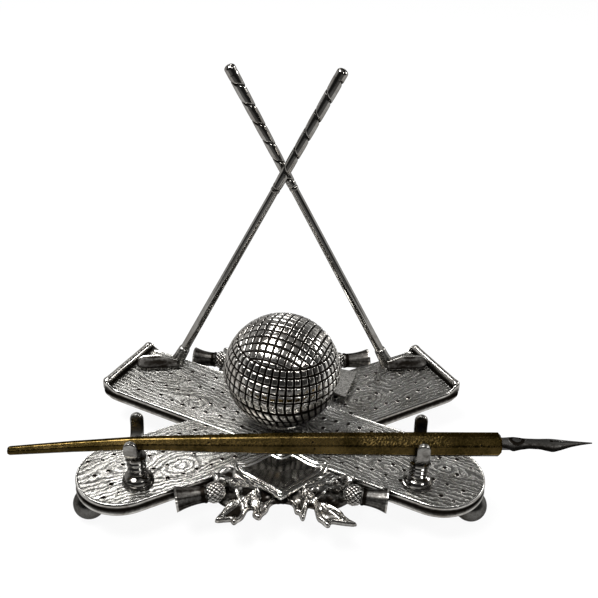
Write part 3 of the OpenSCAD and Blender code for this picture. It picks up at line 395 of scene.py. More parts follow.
print("a 3 by 3 grid has", len(quads(3, 3)), "faces")

# %% [markdown]
# ## Smooth steps and clouds
# Worn metal has no even surface. Blender's noise lives in shaders only, so the meshes need their own:
# value noise takes a random number at each whole point of space and blends between them, and several
# octaves of it, each twice as fine and half as strong, look like clouds.

# %% Steps and noise
def step(low, high, x):
    """0 below low, 1 above high, smooth between."""
    t = np.clip((x - low) / (high - low), 0, 1)
    return t * t * (3 - 2 * t)


def value_noise(p, seed=0):
    """Smooth noise from 0 to 1 at 2-D or 3-D points: random numbers at whole points, blended."""
    p = np.asarray(p, float)
    cell = np.floor(p).astype(np.int64)
    t = p - cell
    t = t * t * (3 - 2 * t)
    dims = p.shape[-1]
    total = np.zeros(p.shape[:-1])
    for corner in range(2 ** dims):
        bits = np.array([(corner >> k) & 1 for k in range(dims)])
        c = cell + bits
        h = (c * np.array([73856093, 19349663, 83492791][:dims])).sum(-1) ^ (seed * 2654435761)
        h = (h ^ (h >> 13)) * 1274126177 & 0x7FFFFFFF
        total += (h / 0x7FFFFFFF) * np.prod(np.where(bits, t, 1 - t), axis=-1)
    return total


def clouds(p, octaves=3, seed=0):
    """Several octaves of value noise, about 0 to 1."""
    total = sum(value_noise(p * 2 ** k, seed + k) / 2 ** (k + 1) for k in range(octaves))
    return total / (1 - 0.5 ** octaves)


print("clouds at the corner of space", round(float(clouds(np.zeros((1, 2)))[0]), 3))


# %% Turned shapes
def spun(profile, turns, centre):
    """Points and faces of a profile of [radius, height] turned round the upright line at centre."""
    profile = np.asarray(profile, float)
    a = np.linspace(0, 2 * np.pi, turns, endpoint=False)
    P = np.stack([centre[0] + profile[:, :1] * np.cos(a), centre[1] + profile[:, :1] * np.sin(a),
                  np.repeat(profile[:, 1:], turns, 1)], -1)
    return P.reshape(-1, 3), quads(len(profile), turns, wrap_v=True, flip=True)


print("a turned ring has", len(spun([[1, 0], [1, 1]], 8, (0, 0))[0]), "points")

# %% [markdown]
# ## Where the boards lie
# Two boards cross under the ball. Each has a square rear end with a raised lip and a round front end,
# and its long edges sweep up to the lip. Everything on a board is easier to say in its own lengths,
# `s` along it to the front and `t` across it, so one function turns those into places on the desk.

# %% Board sizes and places
ANGLE, CROSS_Y, TOP = math.radians(27.9), -1.2, 15.0   # half the angle between them, crossing, top
REAR, FRONT = 70.6, 61.2                               # reach of the square end, of the straight part
HALF_R, HALF_F = 15.3, 15.8                            # half width at the rear and at the front
LIP, LIP_TOP, SWEEP = 2.2, 18.3, 5.0                   # the lip's width, its top, where its foot begins


def on_board(side, s, t):
    """Desk coordinates of the place s along and t across a board that runs to the right front
    (side 1) or to the left front (side -1)."""
    c, q = math.cos(ANGLE), math.sin(ANGLE)
    x, y = s * c + side * t * q, -s * q + side * t * c
    return side * x, CROSS_Y + y


def from_right_board(x, y):
    """Distance of a place on the desk from the right board's middle line."""
    return np.abs(x * math.sin(ANGLE) + (y - CROSS_Y) * math.cos(ANGLE))


def sweep_up(s, edge):
    """How far the long edges rise to the lip: the square of the nearness to it, at the edge only."""
    near = np.clip((SWEEP - (s + REAR - LIP)) / SWEEP, 0, 1)
    return (LIP_TOP - TOP - 0.5) * near ** 2.2 * step(1.7, 0.3, edge)


print("front middle of the right board", [round(float(v), 1) for v in on_board(1, FRONT + HALF_F, 0)])

# %% [markdown]
# ## The wood's lines
# The chaser drew wood grain that flows round knots. It could be traced line by line. Here the lines
# follow the formula of a stream round a cylinder: a plain board has one line a unit of `t`, and each
# knot at (a, b) with radius r bends them, so that the line number is t minus r squared times (t - b)
# over the squared distance to the knot. Inside a knot the lines are rings, and noise makes them waver.

# %% Wood lines round knots
LINES_A_MM = 0.62


def grain_lines(s, t, knots, seed):
    """Number of wood lines at (s, t): a stream round knots, with rings inside them."""
    ws = s + 3.0 * (clouds(np.stack([s, t], -1) * 0.06, 2, seed) - 0.5)
    wt = t + 3.4 * (clouds(np.stack([s * 0.5, t], -1) * 0.11, 3, seed + 9) - 0.5)
    out = wt
    for ks, kt, kr, stretch in knots:
        d2 = ((ws - ks) / stretch) ** 2 + (wt - kt) ** 2
        inside = d2 < kr * kr
        out = np.where(inside, out, out - kr * kr * (wt - kt) / np.maximum(d2, 1e-6))
        out = np.where(inside, kt + np.sqrt(d2), out)
    return out * LINES_A_MM


KNOTS = {  # for each board (s, t, radius, stretch along the board)
    1: [(-54, 2, 4.5, 1.9), (-33, -6, 3.8, 1.6), (-20, 8, 3.2, 2.0), (30, 6, 4.2, 1.7),
        (47, -5, 4.0, 2.2), (62, 4, 3.4, 1.8)],
    -1: [(-52, -4, 4.2, 2.0), (-34, 3, 6.0, 1.5), (-16, -7, 3.0, 1.8), (30, -5, 3.8, 1.8),
         (42, 6, 4.6, 1.5), (58, -3, 3.6, 2.2)],
}
print("knots", {side: len(knots) for side, knots in KNOTS.items()})

# %% [markdown]
# ## The boards' tops
# A flat face would catch no light at its border, where the real one has a fine raised rim and rounds
# off into the wall. The top is therefore a grid with rows close together at the edge, and its height is
# a formula of the distance to the edge. The left board passes under the right one.

# %% Chased tops
RIM_ROWS = np.array([0, 0.06, 0.16, 0.3, 0.45, 0.6, 0.75, 0.95, 1.3])


def board_top(side):
    """Rows run across the board from its lip to its round end; beyond the straight part a row's
    half width is that of the half circle. Rows of points are closer at the edge for the border."""
    straight = np.arange(-REAR + LIP - 0.1, FRONT, 0.45)
    bend = np.radians(np.concatenate([np.arange(0, 84, 1.6), [86, 88, 89.4]]))
    s = np.concatenate([straight, FRONT + HALF_F * np.sin(bend)])
    half = np.concatenate([
        HALF_R + (HALF_F - HALF_R) * (straight + REAR) / (FRONT + REAR), HALF_F * np.cos(bend)])
    mid = np.linspace(RIM_ROWS[-1], 2 * HALF_F - RIM_ROWS[-1], 66)[1:-1]
    across = np.concatenate([RIM_ROWS, mid, 2 * HALF_F - RIM_ROWS[::-1]]) / HALF_F - 1
    S, T = np.meshgrid(s, across, indexing="ij")
    H = np.broadcast_to(half[:, None], S.shape)
    T = T * H
    edge = H - np.abs(T)
    round_edge = HALF_F - np.hypot(np.maximum(S - FRONT, 0), T)
    edge = np.minimum(edge, np.where(S > FRONT, round_edge, edge))
    side_edge = edge
    edge = np.minimum(edge, S + REAR - LIP)
    X, Y = on_board(side, S, T)
    border = 0.10 * step(0.75, 0.5, edge) - 0.42 * (1 - step(0, 0.35, edge)) ** 2
    Z = TOP + 0.16 + border - 0.06 * step(0.55, 0.8, edge)
    Z = Z + 0.14 * (clouds(np.stack([X, Y], -1) * 0.2, 3, 5) - 0.5) * step(0.8, 2, edge)
    Z = Z + sweep_up(S, side_edge)
    if side < 0:                                           # this board passes under the other
        Z = Z - 0.13 * step(HALF_R + 0.25, HALF_R - 0.05, from_right_board(X, Y))
    G = grain_lines(S, T, KNOTS[side], 3 if side > 0 else 11)
    add_mesh(f"board_top_{'a' if side > 0 else 'b'}", np.stack([X, Y, Z], -1).reshape(-1, 3),
             quads(*S.shape), BOARD, "stand", grain=G, edge=edge,
             dark=0.9 * (1 - step(0.0, 0.22, np.abs(edge - 0.68))))
    return S.size


print("board points", board_top(1), board_top(-1))

# %% [markdown]
# ## Pricked holes
# Loose rows of small punched holes run along each board, each a tiny raised burr round a dark pit.
# Boolean cuts would make hundreds of slivers in the boards' mesh. Each hole is a small ring laid on the
# top instead, raised at its burr and black in its middle. A seeded random step keeps the rows loose and
# still the same at every run.

# %% Rows of holes
rng = np.random.default_rng(7)
UNDER_BALL = 11                                        # no holes nearer than this to the ball's middle
HOLE_RINGS = [(1.0, -0.06), (0.9, 0.07), (0.8, 0.11), (0.72, 0.07), (0.68, -0.03), (0.1, -0.04)]
HOLE_DARK = np.array([0.5, 0.1, 0.0, 0.95, 1, 1])      # of each ring, from the foot of the burr inwards


def pricks():
    """Places of the holes: four wavering rows a board, with a random step of about 5 mm, kept off the
    other pieces, and for each a burr ring and a sunken dark middle."""
    spots = []
    for side in (1, -1):
        for row, t0 in enumerate((-9.6, -3.4, 3.2, 9.4)):
            s = -68.0 + 2.2 * (row % 2)
            while s < 66:
                s += 4.4 + 1.6 * rng.random()
                t = t0 + 2.2 * (rng.random() - 0.5)
                x, y = on_board(side, s, t)
                under = side < 0 and from_right_board(x, y) < HALF_R + 0.3
                if not under and math.hypot(x, y) > UNDER_BALL:
                    spots.append((float(x), float(y)))
    spots = np.array(spots)
    a = np.linspace(0, 2 * np.pi, 11, endpoint=False)
    size = 0.78 + 0.3 * rng.random(len(spots))
    P = np.stack([np.stack([spots[:, :1] + size[:, None] * r * np.cos(a),
                            spots[:, 1:] + size[:, None] * r * np.sin(a),
                            np.full((len(spots), len(a)), TOP + 0.17 + z)], -1)
                  for r, z in HOLE_RINGS], 1)
    n, m, k = len(spots), len(HOLE_RINGS), len(a)
    faces = np.concatenate([quads(m, k, wrap_v=True, flip=True, first=i * m * k) for i in range(n)])
    dark = np.broadcast_to(HOLE_DARK[None, :, None], (n, m, k))
    caps = [tuple(i * m * k + (m - 1) * k + j for j in range(k)) for i in range(n)]
    add_mesh("pricked_holes", P, as_faces(faces, caps), SILVER_CAST, "stand", dark=dark)
    return n


print("holes", pricks())

# %% [markdown]
# ## The boards' walls and underside
# The casting is open below. Its wall is a little hollow, ends in a bead and turns in under the boards.
# It could be a bevelled solid, but the bead and the dark of the wall would then be hard to place: oxide
# in its slight hollow, and painted shade on its upright face and underside. One profile is carried
# round one closed loop, the joint outline of both boards, and a flat sheet closes it.

# %% Outline of the crossed boards
CORNER = 1.5                                           # radius of the square ends' corners
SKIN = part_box("post_nuts")[1][2] * 1000                # underside of the sheet, where the nuts press


def board_loop():
    """The boards' joint outline in mm, as points in order from above, anticlockwise."""
    bend = np.radians(np.linspace(-90, 90, 60))
    arc = np.radians(np.linspace(0, 90, 8))
    right_front = np.stack(on_board(1, FRONT + HALF_F * np.cos(bend), HALF_F * np.sin(bend)), -1)
    inner = CORNER * (1 - np.sin(arc)), CORNER * (1 - np.cos(arc))
    first = np.stack(on_board(-1, -REAR + inner[0], HALF_R - inner[1]), -1)
    second = np.stack(on_board(-1, -REAR + inner[1], -HALF_R + inner[0]), -1)
    notch_side = (HALF_F / math.sin(ANGLE) * 0.992, CROSS_Y)
    rear_notch = (0.0, CROSS_Y + HALF_R / math.cos(ANGLE))
    front_notch = (0.0, CROSS_Y - (HALF_F - 0.25) / math.cos(ANGLE))
    right = [front_notch, *right_front, notch_side, *first, *second]
    left = [(-x, y) for x, y in reversed(right[1:])]
    return np.array(right + [rear_notch] + left)


print("outline points", len(board_loop()))


# %% Walls along the outline
# darkness: oxide in the wall's slight hollow, and painted shade on its upright face and underside
WALL = np.array([  # outwards, height, darkness
    [-0.14, 15.02, 0.0], [0.0, 14.86, 0.0], [0.1, 14.6, 0.0], [0.14, 14.25, 0.3], [0.1, 13.95, 0.7],
    [0.02, 13.6, 0.85], [-0.04, 13.1, 0.95], [-0.04, 12.6, 0.95], [0.0, 12.1, 0.8], [0.1, 11.7, 0.6],
    [0.24, 11.4, 0.0], [0.3, 11.1, 0.0], [0.2, 10.72, 0.3], [-0.1, 10.5, 0.8], [-1.4, 10.5, 0.8],
    [-1.5, 10.8, 0.7], [-1.5, SKIN, 0.7]])


def offset_normals(loop):
    """Outward direction at each point of a closed anticlockwise loop, by the mean of its sides."""
    d = np.roll(loop, -1, 0) - loop
    d /= np.linalg.norm(d, axis=1)[:, None] + 1e-12
    side = np.stack([d[:, 1], -d[:, 0]], -1)
    n = side + np.roll(side, 1, 0)
    return n / np.maximum((n * side).sum(1), 0.35)[:, None]


def board_walls():
    """The wall's profile carried round the loop: each point of the profile lies that far outwards along
    the loop's normal; its upper rows rise with the sweep, and its lower ones draw in at the ends."""
    loop = board_loop()
    fine = []
    for p, q in zip(loop, np.roll(loop, -1, 0)):
        k = max(1, int(np.linalg.norm(q - p) / 1.2))
        fine += [p + (q - p) * i / k for i in range(k)]
    fine = np.array(fine)
    n = offset_normals(fine)
    side = -np.sign(fine[:, 0]) * np.sign(fine[:, 1] - CROSS_Y)
    dx, dy = side * fine[:, 0], fine[:, 1] - CROSS_Y
    s = dx * math.cos(ANGLE) - dy * math.sin(ANGLE)
    rise = sweep_up(s, np.zeros(len(s)))
    lift = np.clip((WALL[:, 1] - 12.9) / 1.6, 0, 1)
    low = np.clip((12.6 - WALL[:, 1]) / 2.1, 0, 1) * (WALL[:, 0] > -0.5)
    near_end = np.exp(-((s + REAR) / 3.0) ** 2)[:, None]
    out = fine[:, None] + n[:, None] * (WALL[None, :, 0] - 0.8 * near_end * low)[..., None]
    height = WALL[:, 1] + rise[:, None] * lift + 1.2 * near_end * low
    P = np.concatenate([out, height[..., None]], -1)
    count, rows = P.shape[:2]
    sheet = tuple(i * rows + rows - 1 for i in range(count))[::-1]
    add_mesh("board_walls", P, as_faces(quads(count, rows, wrap_u=True, flip=True), [sheet]),
             SILVER_WALL, "stand", replaces=("base_boards",), sharp=45, reverse=True,
             dark=np.broadcast_to(WALL[:, 2], (count, rows)))
    return count


print("points round the wall", board_walls())

# %% [markdown]
# ## The lips
# A rounded bar closes each square end and stands 3 mm above the board, with an oxide line at its inner
# foot. A box with a bevel would have hard mitred ends; the cast ones are soft and a little swollen.
# So one profile is carried along the end, and shrinks as a quarter ellipse towards its tips.

# %% Lips at the square ends
LIP_PROFILE = np.array([  # across, share of the height from the foot to the top, darkness
    [-1, 0, 0.3], [-1, 0.5, 0.15], [-0.98, 0.75, 0.05], [-0.86, 0.9, 0], [-0.55, 0.98, 0], [0, 1, 0],
    [0.5, 0.985, 0], [0.8, 0.92, 0.05], [0.95, 0.8, 0.35], [1, 0.62, 0.8], [1, 0.4, 0.95],
    [1.06, 0.25, 0.9], [1.25, 0.14, 0.7], [1.25, 0, 0.6]])
LIP_FOOT, LIP_TIP = 14.6, 1.3                          # height of its foot, length of a rounded tip


def lip(side):
    """The bar across a square end: its half width and height follow a quarter ellipse at both ends,
    where it also swells a little, as cast metal does."""
    wide, end = LIP / 2 + 0.2, HALF_R + 0.05
    turn = np.radians(np.linspace(0, 90, 12))
    tip = end - LIP_TIP + LIP_TIP * np.sin(turn)
    t = np.concatenate([-tip[::-1], np.linspace(-end + LIP_TIP, end - LIP_TIP, 60)[1:-1], tip])
    k = np.clip((np.abs(t) - (end - LIP_TIP)) / LIP_TIP, 0, 1)
    shrink = np.sqrt(np.maximum(1 - k * k, 0))
    swell = np.exp(-((np.abs(t) - (end - 1.9)) / 1.1) ** 2)
    half = wide * shrink * (1 + 0.12 * swell)
    uneven = 0.12 * (clouds(t[:, None] * [0.2, 0], 2, 3) - 0.5)
    top = LIP_TOP + 0.05 + 0.15 * swell - 1.1 * (1 - shrink) + uneven
    S = -REAR + LIP / 2 + 0.14 + half[:, None] * LIP_PROFILE[:, 0]
    T = np.broadcast_to(t[:, None], S.shape)
    X, Y = on_board(side, S, T)
    Z = LIP_FOOT + (top[:, None] - LIP_FOOT) * LIP_PROFILE[:, 1]
    add_mesh(f"rear_lip_{'left' if side > 0 else 'right'}", np.stack([X, Y, Z], -1),
             quads(*S.shape, wrap_v=True, flip=True), SILVER_WALL, "stand",
             dark=np.broadcast_to(LIP_PROFILE[:, 2], S.shape))
    return S.size


print("lip points", lip(1), lip(-1))

# %% [markdown]
# ## The mesh-cut ball: one pad
# The inkwell copies an old golf ball whose grooves were cut by hand. A bump on a smooth ball would look
# flat at its outline, so the grooves are real. At the distance x from a groove's middle the depth is
# `deep * (1 - smooth(x / w))`, the pad between is slightly domed, and each pad leans its own small way.
# Points gather at the grooves, so that the edges of the pads are crisp.

# %% Grooves and pads
BALL = np.array([0, 0.2, 36.5])                        # middle of the ball
SEAM = -0.9                                            # height of the lid's rim above the middle
LID_RADIUS, BOWL_RADIUS = 21.0, 20.3
LINES = 45                                             # upright groove lines round the ball
PAD_TOP = 0.2                                          # depths below this belong to a pad, not a groove


def groove_depth(x, deep=0.46, w=0.5):
    """Depth at a distance x from a groove's middle, with a faint dome on the pad."""
    return deep * (1 - step(0.14, w, x)) - 0.035 * step(0.4, 1.5, x)


def lean_of_pads(i, j, a, b, seed):
    """Each pad (i, j) leans its own way, as cast pads do: a plane over the pad's places a and b,
    which run from -1 to 1 across it."""
    cell = np.stack([i, j], -1)
    return 0.045 * ((value_noise(cell, seed) - 0.5) * a + (value_noise(cell, seed + 1) - 0.5) * b) * 2


def spread(count, pitch):
    """Places across count cells of one pitch, gathered near the grooves."""
    unit = np.array([0, 0.045, 0.1, 0.16, 0.23, 0.36, 0.5, 0.64, 0.77, 0.84, 0.9, 0.955])
    return np.concatenate([(i + unit) * pitch for i in range(count)] + [[count * pitch]])


print("pad pitch on the lid", round(2 * math.pi * LID_RADIUS / LINES, 2), "mm, groove depth",
      groove_depth(0.0), "mm")

# %% [markdown]
# ## The mesh-cut ball: rows and crown
# The lid's rows are circles round an axis that leans a little, and its crown is a square net, because
# upright lines would crowd together at the pole. The net lives in flat coordinates whose length is the
# distance from the pole along the ball. Points past the seam are moved on to it, which closes the rim.

# %% Rows of pads on a ball
CROWN, LID_ROW, BOWL_ROW = 37.0, 8.35, 11.75           # degrees: where the crown starts, a row's height


def turn_matrix(axis):
    """A rotation that takes +Z to the given direction by the shortest way."""
    a = np.array(axis, float) / np.linalg.norm(axis)
    v = np.cross([0, 0, 1], a)
    k = np.array([[0, -v[2], v[1]], [v[2], 0, -v[0]], [-v[1], v[0], 0]])
    return np.eye(3) + k + k @ k / (1 + a[2])


def cut_at(P, z, above):
    """Moves what lies past the level z on to it, at the same distance from the middle's upright line
    as the ball has there. Returns the points and which were moved."""
    past = (P[..., 2] < z) if above else (P[..., 2] > z)
    r = np.linalg.norm(P, axis=-1)
    flat = np.sqrt(np.maximum(r * r - z * z, 0.01))
    scale = np.where(past, flat / (np.linalg.norm(P[..., :2], axis=-1) + 1e-9), 1.0)
    Q = np.concatenate([P[..., :2] * scale[..., None], np.where(past, z, P[..., 2])[..., None]], -1)
    return Q, past


def rows_of_pads(radius, top_deg, row_deg, rows):
    """Longitude, latitude and depth of rows of pads between upright lines, from top_deg down."""
    cell, k = 2 * np.pi / LINES, math.radians(row_deg)
    lon = spread(LINES, cell)[:-1]
    lat = math.radians(top_deg) - spread(rows, k)
    A, B = np.meshgrid(lon, lat, indexing="ij")
    down = math.radians(top_deg) - B
    dx = np.minimum(A % cell, cell - A % cell) * radius * np.cos(B)
    dy = np.minimum(down % k, k - down % k) * radius
    i, j = np.floor(A / cell + 1e-6), np.floor(down / k + 1e-6)
    lean = lean_of_pads(i, j, 2 * (A / cell - i) - 1, 2 * (down / k - j) - 1, 4)
    depth = groove_depth(np.minimum(dx, dy), 0.52, 0.56)
    return A, B, depth + lean * (depth < PAD_TOP)


def on_ball(lon, lat, radius):
    """Points on a ball from longitude, latitude and radius."""
    flat = np.stack([np.cos(lat) * np.cos(lon), np.cos(lat) * np.sin(lon), np.sin(lat)], -1)
    return flat * radius[..., None]


print("points of six rows", rows_of_pads(LID_RADIUS, CROWN, LID_ROW, 6)[0].size)


# %% Crown net
def crown_net(radius, crown_deg, net_turn):
    """Square net on the cap: its flat coordinates have the arc length from the pole as their norm."""
    pitch = 2 * np.pi / LINES * radius * 0.99
    limit = math.radians(90 - crown_deg) * radius
    cells = int(math.ceil(limit / pitch)) + 1
    line = spread(2 * cells, pitch) - cells * pitch
    U, V = np.meshgrid(line, line, indexing="ij")
    du = np.minimum(U % pitch, pitch - U % pitch)
    dv = np.minimum(V % pitch, pitch - V % pitch)
    norm = np.hypot(U, V) + 1e-9
    squeeze = np.minimum(1, limit / norm)
    depth = groove_depth(np.minimum(np.minimum(du, dv), np.maximum(limit - norm, 0)))
    i, j = np.floor(U / pitch + 1e-6), np.floor(V / pitch + 1e-6)
    lean = lean_of_pads(i, j, 2 * (U / pitch - i) - 1, 2 * (V / pitch - j) - 1, 14)
    depth += lean * (depth < PAD_TOP)
    away = norm * squeeze / radius
    P = on_ball(np.arctan2(V, U) + math.radians(net_turn), np.pi / 2 - away, radius - depth)
    f = quads(*U.shape)
    return P, depth, f[~(norm > limit).ravel()[f].all(1)]


CROWN_TURN = 70.0                                      # how far the net is turned, in degrees
print("faces of the crown", len(crown_net(LID_RADIUS, CROWN, CROWN_TURN)[2]))


# %% Joining and closing a half
def join_cut(pieces, levels):
    """One mesh from pieces (points, depth, faces), cut at levels [(height, whether above is kept)]."""
    points, darks, faces, first = [], [], [], 0
    for P, depth, f in pieces:
        for z, above in levels:
            P, past = cut_at(P, z, above)
            f = f[~past.ravel()[f].all(1)]
        points.append(P.reshape(-1, 3) + BALL)
        # darker towards the bottom of the ball: painted shade of its lower half, on top of the oxide in
        # the grooves
        low = step(7.0, -9.0, points[-1][:, 2] - BALL[2])
        darks.append(np.clip((depth.ravel() - 0.03) / 0.36 + 0.66 * low, 0, 1))
        faces.append(f + first)
        first += len(points[-1])
    return np.concatenate(points), np.concatenate(faces), np.concatenate(darks)


def shell_inside(radius, level, above, outer_radius, low=None):
    """The rim and the smooth inside of a half: rim from the outer radius in, then the inner ball."""
    outer = math.sqrt(max((outer_radius - 0.5) ** 2 - level ** 2, 0))
    end = math.radians(90) if above else math.asin(low / radius)
    lats = np.linspace(math.asin(level / radius), end, 30)
    arc = np.stack([radius * np.cos(lats), radius * np.sin(lats)], -1)
    prof = np.concatenate([[[outer, level]], arc])
    if not above:
        prof = np.concatenate([prof, [[1.6, low]]])
    return spun(prof + [[0, BALL[2]]], 96, BALL[:2])


def finish_half(name, body, node, outside, inside, darkening):
    """Joins the outside and the inside of a half into one object."""
    P, f, dark = outside
    Pi, fi = inside
    add_mesh(name, np.concatenate([P, Pi]), np.concatenate([f, fi[:, ::-1] + len(P)]), SILVER_BALL,
             body, replaces=(node,), dark=np.concatenate([dark, np.full(len(Pi), darkening)]))
    return len(f)


print("radius of the lid's rim", round(math.sqrt(LID_RADIUS ** 2 - SEAM ** 2), 2), "mm")

# %% [markdown]
# ## The lid and the bowl
# The upper half turns back on its hinge, so each half is a piece of its own with a rim and a smooth
# inside, and rides on its own body. The bowl is a little smaller, and the lid's upright lines run on
# over it and drift aside as they go down, as hand-cut lines do.

# %% Lid and bowl
LINE_TURN = math.radians(0.6)


def lid_half():
    """Rows of pads below a crown net, in a frame that leans to the right by 4 degrees."""
    R = turn_matrix((0.07, 0.0, 0.9975))
    A, B, depth = rows_of_pads(LID_RADIUS, CROWN, LID_ROW, 6)
    rows = on_ball(A + LINE_TURN, B, LID_RADIUS - depth) @ R.T
    P, net_depth, f = crown_net(LID_RADIUS, CROWN, CROWN_TURN)
    pieces = [(rows, depth, quads(*A.shape, wrap_u=True, flip=True)), (P @ R.T, net_depth, f)]
    return join_cut(pieces, [(SEAM + 0.03, True)])


def bowl_half():
    """Rows below the seam: the lines drift 9 degrees aside and the rows sag 6 degrees at the front."""
    A, B, depth = rows_of_pads(BOWL_RADIUS, 1.85, BOWL_ROW, 6)
    drift = step(-3, -32, np.degrees(B))
    front = np.exp(-(((np.degrees(A) + 70 + 180) % 360 - 180) / 42) ** 2)
    lat = B - np.radians(6) * front * step(-2, -18, np.degrees(B))
    P = on_ball(A + LINE_TURN + np.radians(9) * drift, lat, BOWL_RADIUS - depth)
    return join_cut([(P, depth, quads(*A.shape, wrap_u=True, flip=True))],
                    [(SEAM - 0.02, False), (-18.36, True)])


print("lid faces", finish_half("ball_lid", "lid", "inkwell_lid", lid_half(),
                               shell_inside(19.5, SEAM + 0.03, True, LID_RADIUS), 0.25))
print("bowl faces", finish_half("ball_bowl", "stand", "inkwell_bowl", bowl_half(),
                                shell_inside(18.8, SEAM - 0.02, False, BOWL_RADIUS, -16.9), 0.3))

# %% [markdown]
# ## Cast metal from outlines
# Leaves and shields are flat castings with a relief on top. An extruded curve would give only a flat
# face. `casting` lays a grid over the outline, moves the points just outside on to it, takes the height
# of each from a formula of its distance to the outline, and closes the piece by a wall and a back.

# %% Distance to an outline
def inside_outline(P, outline):
    """Whether points lie inside a closed outline, by counting the sides crossed to the right."""
    x, y = P[:, 0], P[:, 1]
    hits = np.zeros(len(P), bool)
    for (x1, y1), (x2, y2) in zip(outline, np.roll(outline, -1, 0)):
        if y1 == y2:
            continue
        cross = ((y1 > y) != (y2 > y)) & (x < (x2 - x1) * (y - y1) / (y2 - y1) + x1)
        hits ^= cross
    return hits


def nearest_on(P, outline):
    """Distance to the outline and the nearest point on it."""
    best = np.full(len(P), 1e9)
    near = np.zeros_like(P)
    for a, b in zip(outline, np.roll(outline, -1, 0)):
        d = b - a
        t = np.clip(((P - a) @ d) / (d @ d + 1e-12), 0, 1)
        Q = a + t[:, None] * d
        dist = np.linalg.norm(P - Q, axis=1)
        closer = dist < best
        best = np.where(closer, dist, best)
        near[closer] = Q[closer]
    return best, near


def rounded(outline, times=2, share=0.18, swell=0.0):
    """Corners of a closed outline cut a few times, so that it flows, and the outline then pushed
    outwards by swell."""
    P = np.asarray(outline, float)
    for _ in range(times):
        nxt = np.roll(P, -1, 0)
        P = np.stack([(1 - share) * P + share * nxt, share * P + (1 - share) * nxt], 1).reshape(-1, 2)
    if swell:
        nxt = np.roll(P, -1, 0)
        area = (P[:, 0] * nxt[:, 1] - nxt[:, 0] * P[:, 1]).sum()
        n = offset_normals(P if area > 0 else P[::-1])
        P = P + swell * (n if area > 0 else n[::-1])
    return P


print("a rounded square has", len(rounded([(0, 0), (1, 0), (1, 1), (0, 1)])), "corners")

# %% Reliefs
WALL_DARK = 0.6                                        # oxide on the side walls and the back


def casting(outline, spacing, top, back):
    """Points, faces and darkness of a relief. top(P, d) gives height and darkness at places P that lie
    d inside the outline; back is the height of the back, or back(P, d) gives it."""
    lo, hi = outline.min(0) - spacing, outline.max(0) + spacing
    xs = np.arange(lo[0], hi[0] + spacing, spacing)
    ys = np.arange(lo[1], hi[1] + spacing, spacing)
    X, Y = np.meshgrid(xs, ys, indexing="ij")
    P = np.stack([X.ravel(), Y.ravel()], -1)
    ins = inside_outline(P, outline)
    d, near = nearest_on(P, outline)
    snap = ~ins & (d < spacing * 0.95)
    P = np.where(snap[:, None], near, P)
    d = np.where(ins, d, 0.0)
    keep = ins | snap
    f = quads(*X.shape)
    f = f[keep[f].all(1) & ins[f].any(1)]
    used = np.unique(f)
    index = np.full(len(P), -1)
    index[used] = np.arange(len(used))
    f, P, d = index[f], P[used], d[used]
    z, dark = top(P, d)
    n = len(P)
    low = np.full(n, back) if np.isscalar(back) else back(P, d)
    edges = np.concatenate([f[:, [0, 1]], f[:, [1, 2]], f[:, [2, 3]], f[:, [3, 0]]])
    key = np.sort(edges, 1)
    _, first, count = np.unique(key, axis=0, return_index=True, return_counts=True)
    rim = edges[first[count == 1]]
    walls = np.stack([rim[:, 1], rim[:, 0], rim[:, 0] + n, rim[:, 1] + n], -1)
    points = np.concatenate([np.column_stack([P, z]), np.column_stack([P, low])])
    faces = np.concatenate([f, f[:, ::-1] + n, walls])
    darks = np.concatenate([dark, np.full(n, WALL_DARK)])
    return points, faces, darks


def ridge(P, a, b, width, start=1.0, end=0.2):
    """Height of a vein from a to b that thins out: near 1 on its line, 0 beyond its width."""
    a, b = np.array(a, float), np.array(b, float)
    d = b - a
    t = np.clip(((P - a) @ d) / (d @ d), 0, 1)
    dist = np.linalg.norm(P - (a + t[:, None] * d), axis=1)
    w = width * (start + (end - start) * t)
    return np.clip(1 - dist / w, 0, 1) ** 0.8


print("a vein stands", ridge(np.zeros((1, 2)), (0, 0), (1, 0), 1.0)[0], "high at its root")

# %% [markdown]
# ## Outlines of the leaves
# A spray of thistle leaves with deep pointed lobes hangs over the front of the boards, and its twin
# over the rear. The lobes follow no simple formula, so each leaf's outline is a list of corners in
# millimetres on the desk, drawn through the fitted camera and rounded afterwards.

# %% Leaf outlines and pits
LEAF_LEFT = [(-1.7, -40.5), (-3.4, -41.5), (-4.3, -42.9), (-4.6, -44.9), (-6.5, -46.9), (-6.8, -48.2),
             (-7.9, -47.9), (-9.1, -46.6), (-8.4, -44.6), (-9.5, -43.3), (-11.3, -44.3), (-12, -46.3),
             (-12.6, -48), (-14.4, -49.9), (-15.1, -51.7), (-15.6, -50.6), (-15.9, -49.1),
             (-17.8, -49.3), (-19.7, -49.8), (-21.2, -49.8), (-20.5, -48), (-19, -45.7),
             (-17.5, -41.7), (-16.9, -40.5),
             (-14.2, -40.8), (-15, -39.2), (-15.9, -35.8), (-16.2, -34.7), (-19.2, -34), (-22.8, -33),
             (-22.3, -30.8), (-23.1, -28.3), (-24.6, -26.1), (-22.2, -27), (-21, -25.3), (-20.3, -23.8),
             (-18.3, -23.4), (-16, -23.9), (-13, -26), (-8, -33), (-2, -38)]
